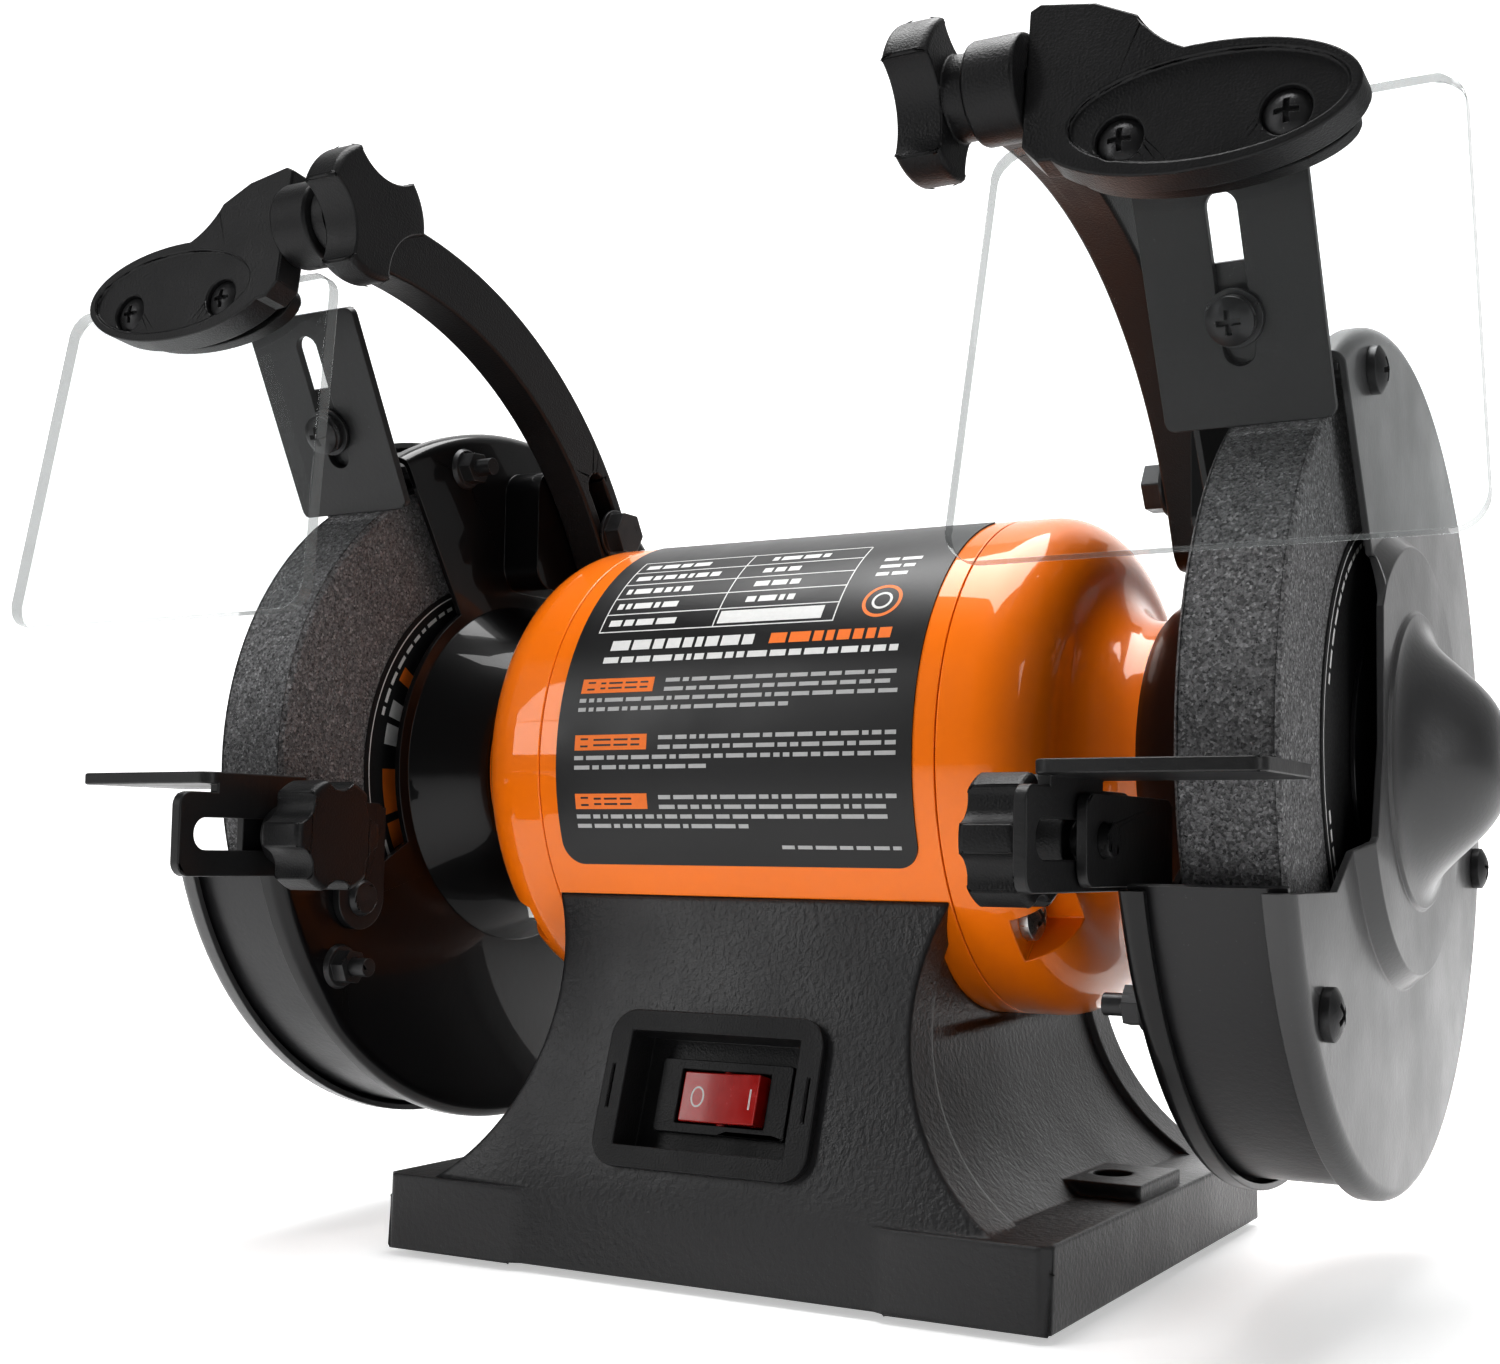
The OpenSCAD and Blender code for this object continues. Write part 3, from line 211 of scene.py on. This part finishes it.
def black_steel(name, color, rough):
    """Blackened steel: dark oxide with oily cloudy gloss and bright specks where it is rubbed."""
    s = Surface(name, color, rough, metal=0.6)
    cloud = s.noise(240, 4, 0.6)
    rub = s.ramp(s.noise(1100, 4, 0.75), 0.66, 0.74, 0.0, 0.45)
    shade = s.mix(cloud, tuple(c * 0.7 for c in color), tuple(c * 1.5 for c in color))
    s.link(s.mix(rub, shade, (0.28, 0.27, 0.26)), s.shader.inputs["Base Color"])
    s.gloss(cloud, rough - 0.1, rough + 0.12).bump(s.noise(1700, 3), 0.00004)
    return s.material


def abrasive(name):
    """Vitrified grit: tight grey grains, near-black spots painted in as the shade inside pores, and bright
    crystals.
    """
    s = Surface(name, (0.09, 0.09, 0.095), 0.85)
    grain = s.cells(1900, output="Color")
    split = s.add("ShaderNodeSeparateColor")
    s.link(grain, split.inputs["Color"])
    edge = s.cells(1900)
    shade = s.mix(s.ramp(split.outputs["Red"], 0.0, 1.0), (0.085, 0.085, 0.087), (0.27, 0.27, 0.275))
    glint = s.ramp(split.outputs["Green"], 0.9, 0.94)
    shade = s.mix(glint, shade, (0.34, 0.34, 0.345))
    # Painted shade: near-black spots stand in for the shadow inside the wheel's pores
    pore_shade = s.ramp(s.noise(1300, 4, 0.75), 0.34, 0.44, 1.0, 0.0)
    shade = s.mix(pore_shade, shade, (0.012, 0.012, 0.013))
    s.link(shade, s.shader.inputs["Base Color"])
    s.link(s.ramp(split.outputs["Green"], 0.88, 0.95, 0.88, 0.35), s.shader.inputs["Roughness"])
    s.bump(edge, 0.0004, 0.9).bump(s.noise(2600, 3, 0.7), 0.00025)
    s.bump(s.ramp(s.noise(700, 5, 0.75), 0.3, 0.5), 0.0003)
    return s.material


def paper(name, color):
    """Printed card disc with a faint fibre."""
    s = Surface(name, color, 0.55)
    fibre = s.noise(1700, 4, 0.7)
    s.tint(fibre, 0.75, 1.3).gloss(fibre, 0.45, 0.65).bump(fibre, 0.00003)
    return s.material


def ink(name, color, rough=0.45):
    """Screen-printed ink, slightly patchy."""
    s = Surface(name, color, rough)
    patch = s.noise(900, 4, 0.7)
    s.tint(patch, 0.86, 1.05).gloss(patch, rough - 0.06, rough + 0.1).bump(patch, 0.00001)
    return s.material


def clear_plastic(name):
    """Clear sheet: nearly invisible face on, bright at grazing angles, lightly scuffed, with greyer rims."""
    s = Surface(name, (0.17, 0.18, 0.18), 0.15, ior=1.46)
    s.bump(s.noise(30, 2), 0.00001)
    scuffs = s.noise(120, 5, 0.7, s.stretched((1.0, 1.0, 6.0)))
    see = s.add("ShaderNodeBsdfTransparent")
    see.inputs["Color"].default_value = (0.975, 0.985, 0.985, 1)
    shine = s.add("ShaderNodeBsdfGlossy")
    shine.inputs["Color"].default_value = (1, 1, 1, 1)
    s.link(s.ramp(scuffs, 0.55, 0.8, 0.02, 0.12), shine.inputs["Roughness"])
    facing = s.add("ShaderNodeLayerWeight")
    facing.inputs["Blend"].default_value = 0.25
    power = s.add("ShaderNodeMath", operation="POWER")
    s.link(facing.outputs["Facing"], power.inputs[0])
    power.inputs[1].default_value = 1.6
    mix = s.add("ShaderNodeMixShader")
    s.link(s.ramp(power.outputs[0], 0.0, 1.0, 0.03, 0.75), mix.inputs["Fac"])
    split = s.add("ShaderNodeSeparateXYZ")
    s.link(s.add("ShaderNodeTexCoord").outputs["Normal"], split.inputs["Vector"])
    level = s.add("ShaderNodeMath", operation="ABSOLUTE")
    s.link(split.outputs["Y"], level.inputs[0])
    rim = s.add("ShaderNodeMixShader")
    s.link(s.ramp(level.outputs[0], 0.6, 0.9, 0.5, 0.0), rim.inputs["Fac"])
    s.link(see.outputs["BSDF"], mix.inputs[1])
    s.link(shine.outputs["BSDF"], mix.inputs[2])
    s.link(mix.outputs["Shader"], rim.inputs[1])
    s.link(s.shader.outputs["BSDF"], rim.inputs[2])
    s.link(rim.outputs["Shader"], s.tree.nodes["Material Output"].inputs["Surface"])
    return s.material


def lit_red(name):
    """Red translucent rocker with a little depth."""
    s = Surface(name, (0.36, 0.006, 0.004), 0.3, coat=0.3, coat_rough=0.08, spec=0.3)
    cloud = s.noise(260, 3)
    s.tint(cloud, 0.75, 1.2).gloss(cloud, 0.16, 0.28).bump(s.noise(1500, 2), 0.00002)
    return s.material


def copper_wire(name):
    """Enamelled copper turns."""
    s = Surface(name, (0.62, 0.22, 0.07), 0.3, metal=0.9, coat=0.5)
    turns = s.noise(160, 2, 0.5, s.stretched((6.0, 1.0, 1.0)))
    s.tint(turns, 0.6, 1.2).gloss(turns, 0.22, 0.42).bump(turns, 0.0004)
    return s.material


MATERIALS = {
    "cast_paint": powder_paint("cast_paint", (0.013, 0.013, 0.014), 0.33, peel=0.00014, edge=0.0016),
    "cover_paint": powder_paint("cover_paint", (0.042, 0.042, 0.043), 0.33, peel=0.00004, coat=0.3),
    "gloss_black": gloss_paint("gloss_black", (0.003, 0.003, 0.0034), 0.3, coat=0.42),
    "band_paint": powder_paint("band_paint", (0.012, 0.012, 0.013), 0.34),
    "sheet_black": powder_paint("sheet_black", (0.009, 0.009, 0.0095), 0.38),
    "motor_enamel": gloss_paint("motor_enamel", (0.9, 0.2, 0.002), 0.34),
    "plastic_black": moulded_plastic("plastic_black", (0.008, 0.008, 0.0085), 0.4),
    "switch_plastic": moulded_plastic("switch_plastic", (0.008, 0.008, 0.0085), 0.38),
    "rubber_black": moulded_plastic("rubber_black", (0.015, 0.015, 0.015), 0.75, 0.0001),
    "rocker_red": lit_red("rocker_red"),
    "zinc": machined_steel("zinc", (0.55, 0.55, 0.54), 0.3),
    "bright_steel": machined_steel("bright_steel", (0.62, 0.62, 0.63), 0.2),
    "dull_steel": machined_steel("dull_steel", (0.33, 0.33, 0.34), 0.4),
    "core_steel": machined_steel("core_steel", (0.3, 0.31, 0.33), 0.4, (300.0, 1.0, 1.0)),
    "can": machined_steel("can", (0.6, 0.6, 0.61), 0.35),
    "oxide": black_steel("oxide", (0.03, 0.03, 0.031), 0.36),
    "flange_black": gloss_paint("flange_black", (0.01, 0.01, 0.011), 0.24),
    "grit": abrasive("grit"),
    "card": paper("card", (0.008, 0.008, 0.0085)),
    "label_film": powder_paint("label_film", (0.007, 0.007, 0.0075), 0.34, peel=0.00001, dust=0.04),
    "copper": copper_wire("copper"),
    "clear": clear_plastic("clear"),
    "white_ink": ink("white_ink", (0.72, 0.72, 0.71)),
    "grey_ink": ink("grey_ink", (0.45, 0.45, 0.45)),
    "orange_ink": ink("orange_ink", (0.85, 0.19, 0.012)),
}

# CAD node without its side, then its material and the width of its rounded edges in millimetres
NODE_LOOKS = {
    "base": ("cast_paint", 0.35), "base_plate": ("sheet_black", 0.2), "rubber_feet": ("rubber_black", 0.3),
    "base_screws": ("zinc", 0.0), "saddle_bolts": ("zinc", 0.0), "switch_housing": ("switch_plastic", 0.35),
    "switch_body": ("switch_plastic", 0.2), "switch_rocker": ("rocker_red", 0.35),
    "cord_gland": ("rubber_black", 0.4), "capacitor": ("can", 0.3), "motor_shell": ("motor_enamel", 0.2),
    "end_bell": ("motor_enamel", 0.35), "label_plate": ("label_film", 0.0), "through_bolts": ("zinc", 0.12),
    "stator_core": ("core_steel", 0.0), "stator_windings": ("copper", 0.0),
    "bearing_outer_rings": ("bright_steel", 0.0), "bearing_inner_rings": ("bright_steel", 0.0),
    "bearing_balls": ("bright_steel", 0.0), "rotor_core": ("core_steel", 0.0),
    "arbor_shaft": ("bright_steel", 0.0), "inner_flanges": ("flange_black", 0.3),
    "outer_flanges": ("flange_black", 0.3), "arbor_nuts": ("dull_steel", 0.25),
    "wheel_blotters": ("card", 0.0), "wheel": ("grit", 0.3), "inner_guard": ("gloss_black", 0.25),
    "guard_band": ("band_paint", 0.2), "outer_cover": ("cover_paint", 0.25),
    "guard_mount_screws": ("zinc", 0.1), "cover_screws": ("oxide", 0.12), "cover_nuts": ("oxide", 0.15),
    "arrester_screws": ("oxide", 0.12), "spark_arrester": ("sheet_black", 0.25),
    "rest_bracket": ("sheet_black", 0.25), "bracket_rivets": ("oxide", 0.3),
    "tool_rest": ("sheet_black", 0.4), "rest_knob": ("plastic_black", 0.4),
    "arm_bolts": ("oxide", 0.25), "shield_arm": ("plastic_black", 0.8),
    "shield_knob": ("plastic_black", 0.5), "shield_clamp": ("plastic_black", 0.5),
    "clamp_back": ("plastic_black", 0.3), "eye_shield": ("clear", 0.25), "shield_screws": ("oxide", 0.12),
}


# ---------- Modifiers for the CAD pieces ----------

WELD = 2e-6
SMOOTH_DEGREES = 32
BEVEL_DEGREES = 40


def smoothing_group():
    """Node group that welds the mesh and shades it smooth up to a limiting edge angle."""
    tree = bpy.data.node_groups.new("weld_and_smooth", "GeometryNodeTree")
    for way in ("INPUT", "OUTPUT"):
        tree.interface.new_socket("Geometry", in_out=way, socket_type="NodeSocketGeometry")
    first = tree.nodes.new("NodeGroupInput")
    last = tree.nodes.new("NodeGroupOutput")
    drop = tree.nodes.new("GeometryNodeRemoveAttribute")
    drop.inputs["Name"].default_value = "custom_normal"
    weld = tree.nodes.new("GeometryNodeMergeByDistance")
    weld.inputs["Distance"].default_value = WELD
    angle = tree.nodes.new("GeometryNodeInputMeshEdgeAngle")
    sharp = tree.nodes.new("FunctionNodeCompare")
    sharp.inputs["B"].default_value = math.radians(SMOOTH_DEGREES)
    faces = tree.nodes.new("GeometryNodeSetShadeSmooth")
    edges = tree.nodes.new("GeometryNodeSetShadeSmooth")
    edges.domain = "EDGE"
    edges.inputs["Shade Smooth"].default_value = False
    link = tree.links.new
    link(first.outputs[0], drop.inputs["Geometry"])
    link(drop.outputs["Geometry"], weld.inputs["Geometry"])
    link(weld.outputs["Geometry"], faces.inputs["Geometry"])
    link(faces.outputs["Geometry"], edges.inputs["Geometry"])
    link(angle.outputs["Unsigned Angle"], sharp.inputs["A"])
    link(sharp.outputs["Result"], edges.inputs["Selection"])
    link(edges.outputs["Geometry"], last.inputs[0])
    return tree


SMOOTHING = smoothing_group()


def dress(obj, material, edge_mm=0.0):
    """Gives a CAD piece its material, smooth shading and rounded edges."""
    obj.data.materials.clear()
    obj.data.materials.append(MATERIALS[material])
    obj.modifiers.new("smooth", "NODES").node_group = SMOOTHING
    if edge_mm:
        bevel = obj.modifiers.new("edges", "BEVEL")
        bevel.width = edge_mm / 1000
        bevel.segments = 2
        bevel.limit_method = "ANGLE"
        bevel.angle_limit = math.radians(BEVEL_DEGREES)
        bevel.harden_normals = True
        bevel.use_clamp_overlap = False


def look_of(node):
    for side in ("_left", "_right"):
        if node.endswith(side):
            return NODE_LOOKS[node[:-len(side)]]
    return NODE_LOOKS[node]


for node, obj in NODES.items():
    dress(obj, *look_of(node))


# ---------- Pieces made here ----------

def new_object(name, mesh, material, body):
    obj = bpy.data.objects.new(name, mesh)
    bpy.context.scene.collection.objects.link(obj)
    if material:
        mesh.materials.append(MATERIALS[material])
    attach(obj, body)
    return obj


def mesh_of(name, build):
    """Mesh from a function that fills a bmesh."""
    bm = bmesh.new()
    build(bm)
    bmesh.ops.recalc_face_normals(bm, faces=bm.faces)
    mesh = bpy.data.meshes.new(name)
    bm.to_mesh(mesh)
    bm.free()
    return mesh


def join_loops(bm, loops, material=0):
    """Closes a ring of four-point sections into a band."""
    for a, b in zip(loops, loops[1:] + loops[:1]):
        for k in range(4):
            face = bm.faces.new((a[k], a[(k + 1) % 4], b[(k + 1) % 4], b[k]))
            face.material_index = material


def patch(bm, place, u0, u1, v0, v1, thick, steps, material=0):
    """Thin closed slab over a rectangle of a curved surface; place(u, v, height) gives its points."""
    rows = []
    for i in range(steps + 1):
        v = v0 + (v1 - v0) * i / steps
        rows.append([bm.verts.new(place(u, v, h)) for u, h in ((u0, 0), (u1, 0), (u1, thick), (u0, thick))])
    faces = []
    for a, b in zip(rows, rows[1:]):
        for k in range(4):
            faces.append(bm.faces.new((a[k], a[(k + 1) % 4], b[(k + 1) % 4], b[k])))
    faces.append(bm.faces.new(rows[0]))
    faces.append(bm.faces.new(rows[-1]))
    for face in faces:
        face.material_index = material


# ---------- Marks on the rating label ----------

PRINT_THICK = 0.00004
WHITE, GREY, ORANGE, BLACK = range(4)
LEFT_MARGIN, RIGHT_MARGIN = 0.005, 0.0035
GAP = 0.0008
TEXT_LINE = 0.0021
ROW = 0.0052
RULE = 0.0003
BADGE_W = 0.019
ARC_STEP = 0.0015


def on_shell(u, v, height):
    """Point of the motor's shell: u along the arbor, v up round the shell from level, in metres of arc."""
    r = LABEL_R + height
    a = v / LABEL_R
    return Vector((u, -r * math.cos(a), ARBOR_Z + r * math.sin(a)))


def label_marks(bm):
    """Generic panel print: ruled table, bars in place of words, coloured blocks."""
    rng = random.Random(11)
    low = math.asin((LABEL_LOW.z - ARBOR_Z) / LABEL_R) * LABEL_R
    left, right = LABEL_LOW.x + LEFT_MARGIN, LABEL_HIGH.x - RIGHT_MARGIN

    def bar(u0, u1, v0, v1, shade):
        patch(bm, on_shell, u0, u1, v0, v1, PRINT_THICK, max(1, int((v1 - v0) / ARC_STEP)), shade)

    def words(u, end, v, height, shade):
        """Row of bars of uneven length, as a line of print looks from afar."""
        while u < end - 0.002:
            stop = min(u + rng.uniform(0.0012, 0.0052), end)
            bar(u, stop, v, v + height, shade)
            u = stop + GAP

    def ring(u, v, r, width, shade, n=36):
        loops = []
        for i in range(n):
            a = 2 * math.pi * i / n
            c, s = math.cos(a), math.sin(a)
            loops.append([bm.verts.new(on_shell(u + q * c, v + q * s, h))
                          for q, h in ((r, 0), (r - width, 0), (r - width, PRINT_THICK), (r, PRINT_THICK))])
        join_loops(bm, loops, shade)

    # Footer, then three paragraphs from the bottom up, each with a badge at its top left
    v = low + 0.004
    words(right - 0.028, right, v, 0.0008, GREY)
    for block in range(3):
        v += 0.0045
        for line in range(4):
            start = left if line < 2 else left + BADGE_W + 0.003
            end = right if line else left + rng.uniform(0.4, 0.7) * (right - left)
            words(start, end, v, 0.0009, GREY)
            v += TEXT_LINE
        bar(left, left + BADGE_W, v - 2 * TEXT_LINE, v - GAP, ORANGE)
        bar(left + 0.0015, left + 0.0035, v - 0.0035, v - 0.0015, BLACK)
        words(left + 0.005, left + BADGE_W - 0.0015, v - 0.0033, 0.0016, BLACK)

    # Address line and headline
    v += 0.003
    words(left + 0.004, right - 0.002, v, 0.0015, WHITE)
    v += 0.0032
    words(left + 0.005, left + 0.042, v, 0.0026, WHITE)
    words(left + 0.046, right - 0.002, v, 0.0026, ORANGE)

    # Ruled table of ratings with one blank white field
    v += 0.005
    split = left + 0.030
    table_right = left + 0.060
    for row in range(6):
        bar(left, table_right, v + row * ROW, v + row * ROW + RULE, WHITE)
    for u in (left, split, table_right):
        bar(u, u + RULE, v, v + 5 * ROW, WHITE)
    bar(split + 0.001, table_right - 0.003, v + 0.001, v + 0.0046, WHITE)
    for row in range(5):
        base = v + row * ROW + 0.0018
        words(left + 0.002, left + rng.uniform(0.015, 0.025), base, 0.0018, WHITE)
        if row:
            words(split + 0.006, split + rng.uniform(0.014, 0.022), base, 0.0018, WHITE)

    # Column beside the table, with a round mark under it
    for row in range(3):
        words(table_right + 0.006, right - 0.004, v + 0.013 + row * 0.0028, 0.0012, WHITE)
    ring(table_right + 0.0105, v + 0.005, 0.0046, 0.0008, ORANGE)
    ring(table_right + 0.0105, v + 0.005, 0.0024, 0.0006, WHITE)


def add_label_print():
    mesh = mesh_of("rating_print", label_marks)
    for ink_name in ("white_ink", "grey_ink", "orange_ink", "label_film"):
        mesh.materials.append(MATERIALS[ink_name])
    new_object("rating_print", mesh, None, "frame")


add_label_print()


# ---------- Marks on the switch ----------

MARK_X = 0.0062
MARK_SINK = 0.00005
RING_W, RING_H = 0.0017, 0.0022
BAR_W, BAR_H = 0.00022, 0.0021
BAR_INNER_W, BAR_INNER_H = 0.00005, 0.0019
RING_LINE = 0.0004


def add_switch_marks():
    """A ring and a bar for off and on, laid on the two halves of the rocker."""
    joint = next(j for j in frame["joints"] if j["name"] == "switch_rock")
    pin = Vector(joint["pos_m"])
    up = Vector(joint["axis"]).normalized()
    side = Vector((1, 0, 0))
    out = side.cross(up).normalized()
    mesh = NODES["switch_rocker"].data
    tree = BVHTree.FromPolygons([v.co for v in mesh.vertices], [p.vertices for p in mesh.polygons])

    def place(u, v, height):
        """Point over the rocker: u across, v up it, height above its face."""
        start = pin + side * u + up * v + out * 0.02
        hit = tree.ray_cast(start, -out)[0]
        return hit + out * height

    def strip(bm, outline):
        """Closed band between two outlines given as pairs of points."""
        loops = [[bm.verts.new(place(*p, h)) for p, h in
                  ((a, -MARK_SINK), (b, -MARK_SINK), (b, PRINT_THICK), (a, PRINT_THICK))] for a, b in outline]
        join_loops(bm, loops)

    def build(bm):
        turns = [2 * math.pi * i / 40 for i in range(40)]
        strip(bm, [((-MARK_X + RING_W * math.cos(a), RING_H * math.sin(a)),
                    (-MARK_X + (RING_W - RING_LINE) * math.cos(a), (RING_H - RING_LINE) * math.sin(a)))
                   for a in turns])
        corners = [(1, -1), (1, 1), (-1, 1), (-1, -1)]
        bar_x = MARK_X + 0.0015
        strip(bm, [((bar_x + BAR_W * x, BAR_H * z), (bar_x + BAR_INNER_W * x, BAR_INNER_H * z))
                   for x, z in corners])

    new_object("rocker_marks", mesh_of("rocker_marks", build), "white_ink", "rocker")


add_switch_marks()


# ---------- Wheel discs' print ----------

ARC_R = 0.040
DISC_PROUD = 0.0004
WORDS_R = (0.0452, 0.0461)
RIM_R = (0.0480, 0.0483)
# Blocks on the disc that faces the motor: first and last angle, inner and outer radius, ink
BLOCKS = (
    (3.16, 3.42, 0.0330, 0.0435, 1), (3.47, 3.62, 0.0345, 0.0435, 1), (2.90, 3.02, 0.0390, 0.0435, 0),
    (2.76, 2.86, 0.0390, 0.0435, 0), (2.55, 2.64, 0.0370, 0.0440, 1),
)


def add_disc_print(side, sign):
    """Generic geometric print on both paper discs of a wheel: rings of bars, and blocks on one disc."""
    low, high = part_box("wheel_" + side)
    rng = random.Random(7)

    def build(bm):
        for x, way in ((low.x, -1), (high.x, 1)):
            base = x + way * DISC_PROUD

            def place(u, v, height):
                """u is the radius, v the arc length at the radius ARC_R."""
                a = v / ARC_R
                return Vector((base + way * height, u * math.cos(a), ARBOR_Z + u * math.sin(a)))

            def arc_bar(radii, start, end, steps, shade):
                patch(bm, place, *radii, start * ARC_R, end * ARC_R, PRINT_THICK, steps, shade)

            for turn in range(2):
                v = turn * math.pi + 0.25
                while v < (turn + 1) * math.pi - 0.3:
                    length = rng.uniform(0.03, 0.09)
                    arc_bar(WORDS_R, v, v + length, 4, 0)
                    v += length + 0.025
            arc_bar(RIM_R, 0.0, 6.28, 120, 0)
            if way != sign:
                for start, end, low_r, high_r, shade in BLOCKS:
                    arc_bar((low_r, high_r), start, end, 8, shade)

    mesh = mesh_of("disc_print_" + side, build)
    mesh.materials.append(MATERIALS["white_ink"])
    mesh.materials.append(MATERIALS["orange_ink"])
    new_object("disc_print_" + side, mesh, None, "spindle")


for side, sign in SIDES:
    add_disc_print(side, sign)


# ---------- Floor, light and camera ----------

FLOOR_FRONT, FLOOR_BACK, FLOOR_HALF = -3.0, 1.2, 5.0
BEND_R = 0.8
WALL_TOP = 3.5
FLOOR_DROP = 0.0002
TARGET = (0, 0, 0.1)
CAMERA_PLACE = (0.21279, -0.39161, 0.08834)
CAMERA_RIGHT = (0.885289, 0.464907, 0.011186)
CAMERA_AHEAD = (-0.464354, 0.882417, 0.075600)
LENS_MM, SENSOR_MM = 45.232, 36
LENS_SHIFT = (-0.0836, 0.0210)


def add_stage():
    """White floor that curves up into a backdrop behind the grinder."""
    def build(bm):
        line = [(FLOOR_FRONT, 0.0), (FLOOR_BACK, 0.0)]
        for degrees in range(10, 91, 10):
            a = math.radians(degrees)
            line.append((FLOOR_BACK + BEND_R * math.sin(a), BEND_R - BEND_R * math.cos(a)))
        line.append((FLOOR_BACK + BEND_R, WALL_TOP))
        rows = [[bm.verts.new((x, y, z)) for x in (-FLOOR_HALF, FLOOR_HALF)] for y, z in line]
        for a, b in zip(rows, rows[1:]):
            bm.faces.new((a[0], a[1], b[1], b[0]))

    mesh = mesh_of("backdrop", build)
    backdrop = bpy.data.objects.new("backdrop", mesh)
    backdrop.location.z = -FLOOR_DROP
    bpy.context.scene.collection.objects.link(backdrop)
    s = Surface("backdrop_white", (0.8, 0.8, 0.8), 0.6)
    s.gloss(s.noise(3, 3), 0.55, 0.65)
    s.set("Emission Color", (1, 1, 1, 1))
    split = s.add("ShaderNodeSeparateXYZ")
    s.link(s.coords, split.inputs["Vector"])
    # The glow grows toward the backdrop and fades toward the right
    glow = s.add("ShaderNodeMath", operation="MULTIPLY")
    s.link(s.ramp(split.outputs["Y"], 0.3, 1.1, 0.5, 1.0), glow.inputs[0])
    s.link(s.ramp(split.outputs["X"], 0.05, 0.8, 1.0, 0.15), glow.inputs[1])
    s.link(glow.outputs[0], s.shader.inputs["Emission Strength"])
    mesh.materials.append(s.material)


def add_light(name, place, size, power):
    data = bpy.data.lights.new(name, "AREA")
    data.shape = "RECTANGLE"
    data.size, data.size_y = size
    data.energy = power
    lamp = bpy.data.objects.new(name, data)
    lamp.location = place
    lamp.rotation_euler = (Vector(TARGET) - Vector(place)).to_track_quat("-Z", "Y").to_euler()
    bpy.context.scene.collection.objects.link(lamp)


def add_world():
    world = bpy.data.worlds.new("studio")
    world.use_nodes = True
    back = world.node_tree.nodes["Background"]
    back.inputs["Color"].default_value = (1, 1, 1, 1)
    back.inputs["Strength"].default_value = 0.1
    bpy.context.scene.world = world


def add_camera():
    """Camera three-quarters from the right, a little below the arbor."""
    right = Vector(CAMERA_RIGHT).normalized()
    ahead = Vector(CAMERA_AHEAD).normalized()
    up = right.cross(ahead).normalized()
    data = bpy.data.cameras.new("camera")
    data.sensor_width = SENSOR_MM
    data.lens = LENS_MM
    data.shift_x, data.shift_y = LENS_SHIFT
    data.clip_start = 0.01
    data.dof.use_dof = False
    camera = bpy.data.objects.new("camera", data)
    camera.matrix_world = Matrix((right, up, -ahead)).transposed().to_4x4()
    camera.location = CAMERA_PLACE
    bpy.context.scene.collection.objects.link(camera)
    bpy.context.scene.camera = camera


add_stage()
add_world()
add_light("top", (-0.1, 0.1, 1.3), (1.0, 0.9), 26)
add_light("front", (-0.9, -1.1, 0.7), (0.3, 1.0), 5.5)
add_light("side", (1.3, -0.5, 0.45), (0.3, 1.0), 4)
add_camera()
bpy.context.scene.view_settings.view_transform = "Standard"
bpy.context.scene.view_settings.gamma = 0.88
